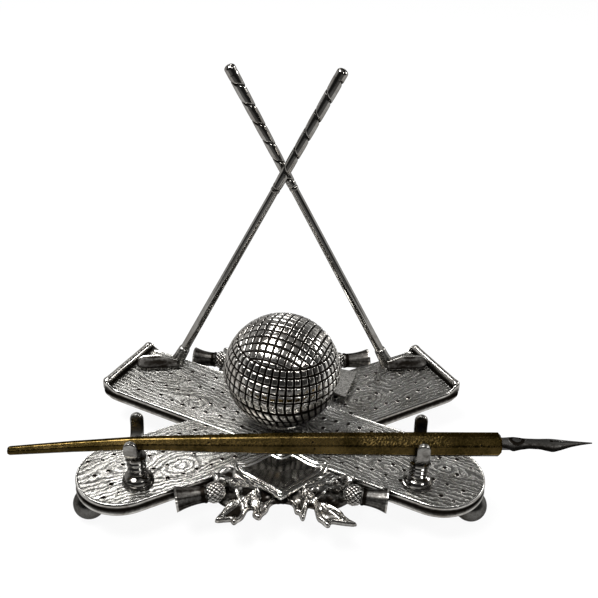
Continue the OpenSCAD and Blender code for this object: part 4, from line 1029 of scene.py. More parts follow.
LEAF_RIGHT = [(2.3, -40.4), (4.5, -42), (4.9, -44.4), (5.1, -45.5), (6.4, -45.8), (7.2, -49.2),
              (8, -45.8), (8.5, -43), (9.5, -41.9), (11.1, -41.9), (11.8, -45.4), (12.2, -48.2),
              (13.7, -50.2),
              (15.4, -54), (16, -50.5), (17.1, -50.2), (18.6, -50.8), (22, -51.8), (24.7, -52),
              (23.6, -50.5), (21.7, -48.4), (20.5, -47.1), (20.3, -45.7), (16.2, -42.2), (12.4, -41.2),
              (11.9, -40.1), (14, -38.7), (15.1, -37.2), (17.8, -34.2), (19.5, -36.8), (23.1, -33.5),
              (23.4, -32), (24.6, -28.9), (22.1, -27.4), (19.1, -29), (18.1, -27.4), (16.6, -26.3),
              (13, -27), (8, -33), (2, -38)]
BACKING = [(-24, -30), (-25, -36), (-22, -40.5), (-16, -45), (-9.5, -44.5), (-5, -42.5), (0, -41.2),
           (5, -42.5), (9.5, -43.5), (15, -45.5), (22, -42), (26, -37), (25, -30), (0, -19)]
TONGUE = [(-16.6, -31.5), (-17, -33.6), (-15.2, -35.2), (-13.2, -35.9), (-12, -35), (-12.3, -34),
          (-14.3, -32.2)]
PITS = {  # drilled pits of the left (-1) and the right (1) leaf: place and size
    -1: [(-10.6, -43.0, 0.62), (-7.3, -40.6, 0.6), (-18.3, -34.6, 1.2), (-15.3, -48.0, 0.5),
         (-13.7, -37.6, 0.6)],
    1: [(11.3, -37.6, 0.7), (16.0, -36.2, 0.8), (8.9, -42.3, 0.5), (17.9, -41.8, 0.6),
        (21.5, -31.2, 0.9), (7.4, -41.3, 0.55), (15.1, -31.0, 0.6)],
}
VEIN_ROOT = (7.5, -36.0)
VEIN_TIPS = [(7.0, -48.6), (14.8, -51.8), (21.0, -50.2), (17.2, -45.0), (22.4, -32.2), (23.4, -27.6),
             (18.6, -25.0), (12.0, -41.5)]
print("corners", len(LEAF_LEFT), len(LEAF_RIGHT), "pits", sum(map(len, PITS.values())))

# %% [markdown]
# ## Relief of the leaves
# A cast leaf has an edge like a cord, hollow lobes full of oxide, and bright veins from the root to the
# tips. Each is one term of the height: a bell curve of the distance to the edge, a cloud that sinks the
# middle, and ridges that thin out. The same terms with other factors give the darkness.

# %% Leaf surface
def leaf_top(mirror):
    """A leaf's surface: a bell curve at the edge, a cloud that sinks the lobes, ridges from the root to
    the tips, and a pit with a raised ring at each drilled place."""
    def top(P, d):
        round_off = 1 - np.sqrt(1 - np.clip(1 - d / 0.7, 0, 1) ** 2)
        rim = np.exp(-((d - 0.6) / 0.32) ** 2)
        vein = np.zeros(len(P))
        for x, y in VEIN_TIPS:
            line = ridge(P, (mirror * VEIN_ROOT[0], VEIN_ROOT[1]), (mirror * x, y), 0.95)
            vein = np.maximum(vein, line)
        lumps = step(0.3, 0.7, clouds(P * 0.34, 2, 21))
        inner = step(0.7, 1.8, d)
        z = 13.1 - 0.9 * round_off + 0.22 * rim
        z = z - 0.95 * inner * (0.25 + 0.85 * lumps) + 0.9 * vein * inner
        fall = np.clip((-P[:, 1] - 38) / 16, 0, 1)
        z += 1.7 * (1 - fall) * step(0.2, 2.4, d)
        dark = 0.1 * inner + 0.85 * inner * lumps - 1.1 * vein - 0.7 * rim + 0.6 * round_off
        for px, py, size in PITS[mirror]:
            far = np.hypot(P[:, 0] - px, P[:, 1] - py) / size
            z += 0.3 * np.exp(-((far - 1.25) / 0.3) ** 2) - 1.0 * (1 - step(0.5, 1.1, far))
            dark = dark * step(0.8, 1.3, far) + (1 - step(0.65, 1.0, far))
        return z, np.clip(dark, 0, 1)
    return top


def lumpy_top(height, rise, darkening):
    """A low lumpy surface with a rounded edge, as dark as the darkening given; on the backing that is
    painted shade in the gaps under the shield and the leaves.
    """
    def top(P, d):
        lumps = clouds(P * 0.5, 3, 31)
        z = height + rise * (lumps - 0.5) - 0.5 * (1 - step(0, 0.6, d))
        return z, np.clip(darkening + 0.5 * (0.5 - lumps), 0, 1)
    return top


print("height in the middle of the right leaf",
      round(float(leaf_top(1)(np.array([[14.0, -38.0]]), np.array([3.0]))[0][0]), 2), "mm")


# %% Front and rear sprays
FRONT_END = -49.0                                      # tips past this are drawn in, inside the CAD


def sprays():
    """Front leaves from their outlines; the rear casting is the same, turned half round."""
    count = 0
    pieces = [("left", rounded(LEAF_LEFT, 3, 0.25, 0.42), 0.25, leaf_top(-1), 11.0),
              ("right", rounded(LEAF_RIGHT, 3, 0.25, 0.42), 0.25, leaf_top(1), 11.0),
              # the backing is painted nearly black, as shade in the gaps under the shield and the
              # leaves
              ("backing", rounded(BACKING, 3, 0.25), 0.4, lumpy_top(13.0, 1.3, 0.86), 11.6),
              ("tongue", rounded(TONGUE, 3, 0.25, 0.2), 0.16, lumpy_top(15.9, 0.3, 0.15), 14.2)]
    for name, outline, spacing, top, back in pieces:
        beyond = np.maximum(FRONT_END - outline[:, 1], 0)
        outline[:, 1] = np.maximum(outline[:, 1], FRONT_END) - np.minimum(0.6 * beyond, 2.78)
        P, f, dark = casting(outline, spacing, top, lambda P, d: back + 0.7 * (1 - step(0, 0.7, d)))
        if name in ("left", "right"):                        # the upper lobes lie on the boards
            lift = 2.4 * step(-38.0, -30.5, P[:, 1])
            P = P + np.stack([np.zeros(len(P)), -1.25 * lift, lift], -1)
        turned = P * [-1, -1, 1] + [0, 2 * CROSS_Y, 0]
        for where, points in (("front", P), ("rear", turned)):
            add_mesh(f"leaf_{where}_{name}", points, f, SILVER_CAST, "stand",
                     replaces=(f"thistle_spray_{where}",), sharp=50, dark=dark)
        count += 2 * len(f)
    return count


print("leaf faces", sprays())

# %% [markdown]
# ## Thistle heads
# Each head is a scaly ball with a tuft that flares to a fluted mouth. Scales could be copied round the
# ball one by one. With u round it and v along it they are also just the places where two families of
# slanting lines cross, `sin(n u + k v) sin(n u - k v)`, and that gives height and oxide together.

# %% Round shapes along a line
def along(a, b):
    """Three directions: from a to b, and two across it."""
    w = (b - a) / np.linalg.norm(b - a)
    side = np.cross(w, [0, 0, 1.0])
    side /= np.linalg.norm(side)
    return w, side, np.cross(side, w)


def turned_along(start, directions, reach, radius, turn):
    """Points round a line: start plus reach along it, plus radius in the direction of the turn."""
    w, p, q = directions
    round_it = np.cos(turn)[..., None] * p + np.sin(turn)[..., None] * q
    return start + reach[..., None] * w + radius[..., None] * round_it


print("direction of a line at 45 degrees", along(np.zeros(3), np.array([1.0, 0, 1]))[0].round(3))


# %% Thistle heads
TURNS = 96                                             # points round a head
TUFT_FROM = 0.72                                       # share of the calyx's radius where it starts
TUFT_INSIDE = np.array([  # rings of its hollow: radius and reach, as shares
    [1, 1], [0.9, 0.995], [0.82, 0.93], [0.6, 0.86], [0.02, 0.84]])
TUFT_INSIDE_DARK = np.array([0.05, 0.2, 0.8, 1, 1])    # oxide on each of these rings


def thistle(name, a, b, calyx, mouth):
    """A head whose calyx, a ball with crossed sine waves, sits round a, and whose tuft opens at b: its
    radius grows with the power 2.4 of the way along it, with flutes that grow too."""
    a, b = np.array(a, float), np.array(b, float)
    ways = along(a, b)
    u = np.linspace(0, 2 * np.pi, TURNS, endpoint=False)
    U, V = np.meshgrid(u, np.radians(np.linspace(-86, 62, 74)), indexing="ij")
    rows = V / np.radians(14.5)
    bump = np.abs(np.sin(6.5 * U + rows * np.pi / 2)) * np.abs(np.sin(6.5 * U - rows * np.pi / 2))
    r = calyx * (0.93 + 0.12 * bump ** 0.5)
    ball = turned_along(a, ways, r * np.sin(V), r * np.cos(V), U)
    ball_dark = 1 - step(0.12, 0.6, bump)
    s = np.linspace(0, 1, 40)
    long, neck = np.linalg.norm(b - a) - calyx * TUFT_FROM, calyx * 0.8
    flare = neck + (mouth - neck) * s ** 2.4 + 0.3 * np.exp(-((s - 0.06) / 0.05) ** 2)
    U, S = np.meshgrid(u, s, indexing="ij")
    start = a + ways[0] * calyx * TUFT_FROM
    tuft = turned_along(start, ways, S * long, flare[None] * (1 + 0.02 * np.cos(14 * U) * S ** 2), U)
    streak = clouds(np.stack([np.cos(U) * 4 + 9, np.sin(U) * 4 + 9], -1), 2, 6)
    tuft_dark = 0.5 + 0.45 * streak + 0.6 * np.exp(-((S - 0.13) / 0.05) ** 2) - 0.5 * (S > 0.94)
    U, K = np.meshgrid(u, np.arange(len(TUFT_INSIDE)), indexing="ij")
    rim = mouth * (1 + 0.02 * np.cos(14 * U))
    hollow = turned_along(start, ways, TUFT_INSIDE[K, 1] * long, rim * TUFT_INSIDE[K, 0], U)
    parts, darks = (ball, tuft, hollow), (ball_dark, tuft_dark, TUFT_INSIDE_DARK[K])
    firsts = np.cumsum([0] + [part[..., 0].size for part in parts])
    faces = [quads(*part.shape[:2], wrap_u=True, first=k) for part, k in zip(parts, firsts)]
    P = np.concatenate([part.reshape(-1, 3) for part in parts])
    P[:, 2] = np.maximum(P[:, 2], 11.0)
    ends = [tuple(range(0, firsts[1], ball.shape[1])),
            tuple(range(firsts[2] + 4, len(P), len(TUFT_INSIDE)))[::-1]]
    add_mesh(name, P, as_faces(*faces, ends), SILVER_CAST, "stand", reverse=True,
             dark=np.clip(np.concatenate([d.ravel() for d in darks]), 0, 1))
    return len(P)


HEADS = {  # calyx middle and mouth middle of the front heads
    "left": ((-22.1, -39.2, 15.1), (-34.9, -41.5, 14.1)),
    "right": ((24.3, -39.6, 14.7), (35.6, -41.5, 14.2)),
}
OTHER = {"left": "right", "right": "left"}
for name, ends in HEADS.items():
    behind = [(-x, 2 * CROSS_Y - y, z) for x, y, z in ends]
    print(name, "thistle points", thistle(f"thistle_front_{name}", *ends, 3.5, 4.4),
          thistle(f"thistle_rear_{OTHER[name]}", *behind, 3.5, 4.4))

# %% [markdown]
# ## Shields
# A shield lies on each spray: a raised double border with oxide in its grooves round a polished,
# slightly domed field. Bevels could make the border, but bell curves of the distance to the outline
# give beads and grooves of any width, and the oxide beside them. The rear one is turned half round.

# %% Shields
def shield_outline():
    """The right half from the tip up to the dip in its top, and its mirror image."""
    half = [(0, -42.7), (1.4, -41.7), (4.0, -39.3), (7.0, -37.0), (10.0, -35.0), (12.9, -32.9),
            (15.0, -30.7), (16.1, -28.4), (16.3, -26.3), (15.6, -25.2), (14.2, -25.3), (12.4, -25.2),
            (10.4, -24.1), (8.4, -22.4), (6.7, -21.0), (5.2, -19.9), (3.4, -19.5), (1.9, -19.9),
            (0.9, -20.7), (0.0, -21.3)]
    return np.array(half + [(-x, y) for x, y in reversed(half[1:-1])])


def shield_top(P, d):
    """Height and darkness: outer bead, groove, inner bead, domed field."""
    z = np.full(len(P), 16.2)
    z += 0.38 * np.exp(-((d - 0.5) / 0.34) ** 2) + 0.3 * np.exp(-((d - 2.15) / 0.26) ** 2)
    z += 0.42 * step(2.6, 14, d) - 0.35 * (1 - step(0, 0.35, d))
    dark = 0.8 * np.exp(-((d - 1.0) / 0.2) ** 2) + 0.4 * np.exp(-((d - 1.7) / 0.16) ** 2)
    dark += 0.85 * np.exp(-((d - 2.6) / 0.16) ** 2)
    return z, np.clip(dark, 0, 1)


for where, turn in (("front", 1), ("rear", -1)):
    P, f, dark = casting(rounded(shield_outline(), 2), 0.19, shield_top, 15.06)
    if turn < 0:
        P[:, 0] *= -1
        P[:, 1] = 2 * CROSS_Y - P[:, 1]
    add_mesh(f"shield_plate_{where}", P, f, SILVER_SHIELD, "stand", replaces=(f"shield_{where}",),
             sharp=40, dark=dark)
    print("shield", where, "faces", len(f))

# %% [markdown]
# ## Wound grips
# The clubs' grips are wound with a strap, whose turns leave a spiral groove. A curve wound round a
# cylinder could cut it. Here the tube itself has the groove: at the height h and the turn a it lies
# where h / pitch - a / turn is a whole number, so that it is one surface without seams.

# %% Where the clubs stand
HEEL_X, HEEL_Y, TOP_X, CLUB_TOP = 42.6, 35.0, 19.6, 136.6
LEAN = 2.6                                             # how far a shaft's top leans to pass the other


def club_ends(side):
    """Foot and top of a shaft's middle line."""
    return (np.array([side * HEEL_X, HEEL_Y, TOP]),
            np.array([-side * TOP_X, HEEL_Y + side * LEAN, CLUB_TOP]))


print("shaft length", round(float(np.linalg.norm(np.subtract(*club_ends(1)))), 1), "mm")


# %% Grips
PITCH, GRIP_LONG = 7.7, 47.0                           # rise of one turn of the strap, whole length
BUTT, BUTT_ROUND = 45.6, 1.4                           # where the butt rounds off, and how much
WOUND = (-0.9, 43.5)                                   # the part that has the groove
RING = -2.1                                            # middle of the ring's groove at the lower end


def grip(side):
    """A tapering tube with the spiral groove, a butt that rounds off as a quarter circle, and a ring at
    its lower end."""
    a, b = club_ends(side)
    ways = along(a, b)
    dome = 1.38 * np.sin(np.radians(np.linspace(5, 90, 9)))
    h = np.concatenate([np.linspace(-3.6, BUTT, 246), BUTT + dome])
    r = 1.72 + (2.05 - 1.72) * h / GRIP_LONG
    r = np.where(h > BUTT, r * np.cos(np.arcsin(np.clip((h - BUTT) / BUTT_ROUND, 0, 1))) + 0.01, r)
    r = r - 0.22 * np.exp(-((h - RING) / 0.25) ** 2) - 0.2 * (h < -3.45)
    u = np.linspace(0, 2 * np.pi, 40, endpoint=False)
    U, H = np.meshgrid(u, h, indexing="ij")
    phase = (H / PITCH - U / (2 * np.pi) + 0.3) % 1.0
    x = np.minimum(phase, 1 - phase) * PITCH * 0.86
    inside = (H > WOUND[0]) & (H < WOUND[1])
    cut = np.where(inside, 1 - step(0.12, 0.55, x), 0)
    rr = r[None] - 0.3 * cut + 0.05 * np.where(inside, step(0.4, 2.6, x), 0)
    low_end = np.linalg.norm(b - a) - GRIP_LONG - 0.35 * (1 + side)
    P = turned_along(a, ways, low_end + H, rr, U)
    dark = np.clip(0.95 * cut + 0.8 * np.exp(-((H - RING) / 0.3) ** 2), 0, 1)
    name = CLUB[side]
    ends = [tuple(range(0, U.size, len(h))), tuple(range(len(h) - 1, U.size, len(h)))[::-1]]
    add_mesh(f"wound_grip_{name}", P, as_faces(quads(*U.shape, wrap_u=True), ends), SILVER_GRIP,
             "stand", reverse=True, replaces=(f"club_grip_{name}",), dark=dark)
    return U.size


CLUB = {-1: "front", 1: "rear"}                        # the left club passes in front of the other
print("grip points", grip(-1), grip(1))

# %% [markdown]
# ## Club heads
# An old iron club's head is a thin blade: thick at the sole, thin at the top, round at the toe, with a
# scratched face and a rubbed top edge. It could be a bevelled box, but then its ends would be square.
# A rounded oblong is carried along it and shrinks at both ends, and a spun cone makes the hosel.

# %% Blades and hosels
HEAD_LONG, HEAD_HIGH, SOLE_THICK, TOP_THICK = 15.3, 5.8, 2.4, 1.0
HEAD_BACK, HEAD_TILT = 4.6, math.radians(-38)
HOSEL = np.array([  # radius, height along the shaft
    [3.1, -0.6], [3.05, 0.3], [2.8, 1.2], [2.55, 2.4], [2.4, 4.0], [2.3, 6.0], [2.2, 7.6], [2.05, 8.1],
    [1.75, 8.3]])


def club_head(side, turn):
    """Blade: at the share s of its length the section is a superellipse |a|^4 + |b|^4 = 1, as high as
    the head there and as thick as the sole below and the top edge above. Hosel: a spun cone."""
    turn = math.radians(turn)
    s = np.concatenate([np.sin(np.radians(np.linspace(0, 80, 8))) * 0.06, np.linspace(0.08, 0.8, 26),
                        0.8 + 0.2 * np.sin(np.radians(np.linspace(6, 90, 16)))])
    name = CLUB[side]
    heel = np.sqrt(np.clip(1 - ((0.06 - s) / 0.06).clip(0) ** 2, 0.003, 1))
    toe = np.sqrt(np.clip(1 - ((s - 0.8) / 0.2).clip(0) ** 2, 0.003, 1))
    high = HEAD_HIGH * (0.62 + 0.38 * step(0.0, 0.5, s)) * heel
    u = np.linspace(0, 2 * np.pi, 40, endpoint=False)
    up = (squarer(np.sin(u), 0.5) + 1) / 2
    S, UP = np.meshgrid(s, up, indexing="ij")
    middle = high[:, None] / 2 + 0.12
    Z = middle + (UP - 0.5) * high[:, None] * (0.25 + 0.75 * toe)[:, None]
    thick = SOLE_THICK + (TOP_THICK - SOLE_THICK) * UP
    Y = thick * squarer(np.cos(u), 0.5)[None] / 2 * np.minimum(heel, toe ** 0.5)[:, None]
    X = -1.1 + S * (HEAD_LONG + 1.0)
    Y, Z = (Y * math.cos(HEAD_TILT) - Z * math.sin(HEAD_TILT) - HEAD_BACK,
            Y * math.sin(HEAD_TILT) + Z * math.cos(HEAD_TILT))
    Z = TOP + np.maximum(Z, 0.02) + 0.1
    X = side * X
    P = np.stack([side * HEEL_X + X * math.cos(turn) - Y * math.sin(turn),
                  HEEL_Y + X * math.sin(turn) + Y * math.cos(turn), Z], -1)
    face = np.broadcast_to(np.cos(u)[None] < 0.3, S.shape) & (UP > 0.06) & (UP < 0.9)
    scratches = clouds(np.stack([S * 4 + UP * 2, UP * 14], -1), 3, 17)
    dark = np.where(face, 0.5 + 0.65 * scratches, 0.05 + 0.2 * scratches)
    faces = quads(*S.shape, wrap_v=True, flip=side < 0)
    a, b = club_ends(side)
    H, A = np.meshgrid(HOSEL[:, 1], np.linspace(0, 2 * np.pi, 36, endpoint=False), indexing="ij")
    R = np.broadcast_to(HOSEL[:, :1], H.shape)
    hosel = turned_along(a, along(a, b), H, R, A)
    hosel[..., 2] = np.maximum(hosel[..., 2], TOP + 0.1)
    first = S.size
    caps = [tuple(range(len(u)))[::-side], tuple(range(first - len(u), first))[::side],
            tuple(range(first, first + A.shape[1]))]
    cone = quads(*H.shape, wrap_v=True, flip=True, first=first)
    add_mesh(f"blade_and_hosel_{name}", np.concatenate([P.reshape(-1, 3), hosel.reshape(-1, 3)]),
             as_faces(faces, caps, cone), SILVER_HEAD, "stand", replaces=(f"club_head_{name}",),
             sharp=60, reverse=True,
             dark=np.concatenate([dark.ravel(), (0.15 + 0.5 * (H < 0.9)).ravel()]))
    return len(faces)


print("head faces", club_head(-1, 5), club_head(1, 3))

# %% [markdown]
# ## Pen forks
# Each fork is one strip of silver bent to a U, with round tips and edges softened by use. A cut ring
# with a bevel would have an even section and square tips. So the middle line is worked out first, half
# an ellipse with two straight prongs, and a superellipse is carried along it and narrows at the tips.

# %% Bent forks
FORK_GAP, STRIP, FORK_WIDE, FORK_TIP = 6.5, 1.8, 4.4, 38.2     # half gap, thickness, width, height
FORKS = {  # place, height of its seat, depth of its bend, turn in degrees
    "left": ((-48.2, -34.0), 29.2, 6.3, 0.0),
    "right": ((46.2, -34.0), 28.0, 6.5, -4.0),
}
TIP_STEPS = np.array([0, 0.03, 0.12, 0.3, 0.6, 1.0, 1.5, 2.1])


def fork(name):
    """The strip's middle line from the front tip, down, round and up to the rear tip, by its length;
    near a tip the width follows a half circle."""
    (x0, y0), seat, bend, turn = FORKS[name]
    prong = FORK_TIP - seat - bend
    rise = np.concatenate([prong - TIP_STEPS, np.linspace(prong - 2.4, 0, 5)[:-1]])
    a = np.radians(np.linspace(180, 360, 48))
    out = FORK_GAP + STRIP / 2
    Y = np.concatenate([np.full(len(rise), -out), out * np.cos(a), np.full(len(rise), out)])
    Z = np.concatenate([rise, (bend + STRIP / 2) * np.sin(a), rise[::-1]]) + bend
    to_tip = prong + bend - Z
    k = np.clip(1 - to_tip / (FORK_WIDE / 2), 0, 1)
    wide = FORK_WIDE / 2 * np.sqrt(np.maximum(1 - k * k, 0.002))
    dy, dz = np.gradient(Y), np.gradient(Z)
    long = np.hypot(dy, dz)
    ny, nz = -dz / long, dy / long
    u = np.linspace(0, 2 * np.pi, 32, endpoint=False)
    thick = STRIP / 2 * (0.75 + 0.25 * np.sqrt(1 - k ** 4))
    across = wide[:, None] * squarer(np.cos(u), 0.42)
    off = thick[:, None] * squarer(np.sin(u), 0.42)
    Y, Z = Y[:, None] + ny[:, None] * off, Z[:, None] + nz[:, None] * off
    t = math.radians(turn)
    P = np.stack([x0 + across * math.cos(t) - Y * math.sin(t),
                  y0 + across * math.sin(t) + Y * math.cos(t), seat + Z], -1)
    # painted shade: the faces inside the U, between the prongs, are darker
    inner_face_shade = np.sin(u)[None] > 0.5
    dark = 0.15 + 0.9 * (clouds(P[..., [0, 2]] * 0.5, 3, 41) - 0.35) + 0.35 * inner_face_shade
    n, m = across.shape
    caps = [tuple(range(m)), tuple(range((n - 1) * m, n * m))[::-1]]
    add_mesh(f"bent_fork_{name}", P, as_faces(quads(n, m, wrap_v=True, flip=True), caps),
             SILVER_FORK, "stand", replaces=(f"fork_{name}",), sharp=60, reverse=True,
             dark=np.clip(dark, 0, 1))
    return n * m


print("fork points", fork("left"), fork("right"))

# %% [markdown]
# ## Dip pen
# The holder is an eight-sided brass rod that thins out to the left and dips a little towards its end.
# A cone with eight sides has corners that are too sharp to show wear. Each corner here has three
# points, of which the middle one is pulled in, and the width and height run straight between stations
# that are those of the packed holder.

# %% Pen holder
PEN_Y = -33.8
BEVEL = math.radians(5.0)                              # half the angle that a worn corner takes
PANEL = (24, 27, 53, 56)                               # where the chased panel begins and ends along x
STATIONS = np.array([
    # x, width across the flats, height of the axis
    [-90.0, 2.24, 27.95], [-89.4, 2.8, 27.96], [-69.1, 3.45, 29.9], [-48.2, 4.1, 31.51],
    [-24.1, 5.5, 31.64], [0.0, 6.7, 31.8], [46.2, 7.4, 32.06], [71.4, 7.4, 32.2], [72.2, 5.8, 32.2]])


def holder():
    """Octagon with bevels: at each corner three points, the middle one pulled in a little. The width
    and the height of the axis run straight from station to station."""
    x = np.concatenate([[-90.0, -89.7, -89.4], np.linspace(-88.5, 70.9, 170), [71.4, 71.9, 72.2]])
    wide = np.interp(x, STATIONS[:, 0], STATIONS[:, 1])
    high = np.interp(x, STATIONS[:, 0], STATIONS[:, 2])
    corner = np.radians(22.5 - 7 + 45 * np.arange(8))
    a = (corner[:, None] + [-BEVEL, 0, BEVEL]).ravel()
    r = np.tile([0.9955, 0.978, 0.9955], 8) / math.cos(math.radians(22.5)) * 0.992
    X, A = np.meshgrid(x, a, indexing="ij")
    half = wide[:, None] / 2 * r[None]
    P = np.stack([X, PEN_Y + half * np.cos(A), high[:, None] + half * np.sin(A)], -1)
    worn = np.broadcast_to(np.tile([0.3, 1.0, 0.3], 8)[None], X.shape) * (
        0.35 + 0.75 * clouds(np.stack([X * 0.12, A * 2], -1), 3, 8))
    top = np.abs(((A - math.radians(90) + np.pi) % (2 * np.pi)) - np.pi) < math.radians(62)
    scroll = step(PANEL[0], PANEL[1], X) * (1 - step(PANEL[2], PANEL[3], X)) * top
    n, m = X.shape
    ends = [tuple(range(m))[::-1], tuple(range((n - 1) * m, n * m))]
    add_mesh("eight_sided_holder", P, as_faces(quads(n, m, wrap_v=True), ends), BRASS, "pen",
             slot="bronzed_brass", replaces=("pen_holder",), sharp=12, reverse=True,
             worn=np.clip(worn, 0, 1), scroll=scroll)
    return X.size


print("holder points", holder())

# %% [markdown]
# ## Nib
# The nib is a thin sheet of steel pressed to a bow, with wide shoulders, a drawn-in waist and a slit
# point. A flat cut-out with Solidify and a bend would follow no drawing of a nib. Half width and bow
# are read from two short tables along it, smoothed, and a second sheet below closes the thickness.

# %% Nib
NIB_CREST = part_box("nib_sleeve")[1][2] * 1000 + 0.3    # just over the sleeve
NIB_HEEL, NIB_LONG, NIB_THICK = 72.3, 30.3, 0.28
SLIT_FROM = 0.55                                       # share of the length where the slit begins


def smoothed(values):
    """The mean of each value and its two neighbours on both sides."""
    return np.convolve(np.pad(values, 2, mode="edge"), np.ones(5) / 5, "valid")


def nib():
    """A bowed sheet: at the share s of the length and t across it the height is the crest less
    bow * (1 - sqrt(1 - t squared)), slit down to a round hole, with a pressed ring at its shoulders.
    The slit is only sunk a little and the hole is not cut: both are painted dark as shade, the sides
    get painted shade and a strip before the point a painted highlight."""
    s = np.linspace(0, 1, 120)
    keys = np.array([0, 0.05, 0.12, 0.2, 0.3, 0.42, 0.52, 0.56, 0.64, 0.76, 0.88, 1.0])
    half = np.interp(s, keys, [2.1, 2.3, 3.1, 2.5, 2.1, 2.2, 2.75, 2.85, 2.3, 1.3, 0.62, 0.12])
    bow = np.interp(s, keys, [2.0, 2.1, 2.7, 2.3, 2.0, 2.0, 2.4, 2.5, 2.0, 1.15, 0.55, 0.11])
    half, bow = smoothed(half), smoothed(bow)
    S, T = np.meshgrid(s, np.linspace(-1, 1, 41), indexing="ij")
    X = NIB_HEEL + S * NIB_LONG
    Y = PEN_Y + T * half[:, None]
    Z = NIB_CREST - bow[:, None] * (1 - np.sqrt(np.maximum(0, 1 - T * T * 0.97))) - 1.2 * S
    emboss = 0.16 * np.exp(-(((S - 0.17) / 0.07) ** 2 + (T / 0.6) ** 2 - 1) ** 2 * 3)
    slit = (np.abs(T) < 0.06) & (S > SLIT_FROM)
    hole = np.hypot((S - SLIT_FROM) * NIB_LONG, T * half[:, None]) < 0.5
    Z = Z + emboss - 0.12 * slit
    # painted light on the nib: the slit and the uncut hole painted dark as shade, the bowed sides
    # darker than the crest as painted shade, and a strip before the point lighter as a painted
    # highlight
    dark = np.clip(0.9 * slit + 0.8 * hole + 0.5 + 0.35 * np.abs(T)
                   - 0.6 * step(0.6, 0.72, S) * (np.abs(T) < 0.5) + 0.4 * (emboss > 0.06), 0, 1)
    P = np.concatenate([np.stack([X, Y, Z - below], -1).reshape(-1, 3) for below in (0, NIB_THICK)])
    n, index = S.size, np.arange(S.size).reshape(S.shape)
    top = quads(*S.shape)
    edge = np.concatenate([index[:, 0], index[-1, 1:], index[-2::-1, -1], index[0, -2:0:-1]])
    after = np.roll(edge, -1)
    rim = np.stack([edge, after, after + n, edge + n], -1)
    add_mesh("steel_nib", P, as_faces(top, top[:, ::-1] + n, rim), NIB, "pen", slot="dark_steel",
             replaces=("pen_nib",), sharp=50, reverse=True,
             dark=np.concatenate([dark.ravel(), dark.ravel()]))
    return n


print("nib points", nib())

# %% [markdown]
# ## Finishes of the packed pieces that stay
# Turned posts, feet, shafts, nuts and the like are plain shapes that the packed solids already give, so
# they keep their meshes. They only get the metal of their kind, and plain silver where none is named.

# %% Metals of the packed pieces
FINISH = {
    "ball_plate": SILVER_SHEET, "bowl_bezel": SILVER, "glass_liner": GLASS,
    "hinge_bowl_knuckles": SILVER_OXIDISED_AND_SHADED, "hinge_lid_knuckle": SILVER_OXIDISED_AND_SHADED, "hinge_pin": STEEL,
    "inkwell_screw": STEEL, "inkwell_nut": STEEL, "post_nuts": STEEL, "club_screws": STEEL,
    "nib_sleeve": SLEEVE,
    "club_shaft_front": SILVER_SHAFT, "club_shaft_rear": SILVER_SHAFT, "foot_front_left": SILVER_OXIDISED_AND_SHADED,
    "foot_front_right": SILVER_OXIDISED_AND_SHADED, "foot_rear_left": SILVER_OXIDISED_AND_SHADED, "foot_rear_right": SILVER_OXIDISED_AND_SHADED,
}
for name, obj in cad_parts.items():
    for slot in obj.material_slots:
        slot.material = FINISH.get(name, SILVER)
print("pieces with a metal of their own", len(FINISH), "of", len(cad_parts))

# %% [markdown]
# ## Camera
# The photograph looks down at the stand from the front, a little from one side. A camera aimed by eye
# would put the club tops and the pen in slightly wrong places. This one stands where a fit of known
# corners put it, and its three angles are turned into the directions of its own axes.

# %% Camera of the photograph
CAMERA_AT = (-0.00001, -0.25844, 0.22534)              # metres
YAW, PITCH_DOWN, ROLL = (math.radians(v) for v in (1.215, 31.494, 1.238))
FOCAL_PX, WIDE_PX, SENSOR = 889.41, 598, 36


def photo_camera():
    """Forward, right and up from yaw and pitch; right and up then turned by the roll."""
    flat = math.cos(PITCH_DOWN)
    fwd = np.array([math.sin(YAW) * flat, math.cos(YAW) * flat, -math.sin(PITCH_DOWN)])
    right = np.array([math.cos(YAW), -math.sin(YAW), 0])
    up = np.cross(right, fwd)
    axes = np.stack([right * math.cos(ROLL) + up * math.sin(ROLL),
                     -right * math.sin(ROLL) + up * math.cos(ROLL), -fwd], 1)
    data = bpy.data.cameras.new("photo_camera")
    data.sensor_width = SENSOR
    data.lens = FOCAL_PX / WIDE_PX * SENSOR
    data.clip_start, data.clip_end = 0.01, 20
    cam = bpy.data.objects.new("photo_camera", data)
    cam.matrix_world = Matrix.Translation(CAMERA_AT) @ Matrix(axes.tolist()).to_4x4()
    bpy.context.scene.collection.objects.link(cam)
    bpy.context.scene.camera = cam
    return data.lens


print("camera lens", round(photo_camera(), 2), "mm")

# %% [markdown]
# ## Floor
# The stand was photographed on plain white with only a faint shadow. A white surface lit until it clips
# would flood the metal with light. Instead the floor glows for the camera's rays and for reflections,
# and its true surface shows through enough to keep the shadow. In front the table ends, and reflections
# find the dark room there, as they do on the real object.

# %% Floor
TABLE_END = (-150.0, -70.0)                            # y in mm where the glow fades out to the front
GLOW = 0.93                                            # the rest is the real surface with its shadow


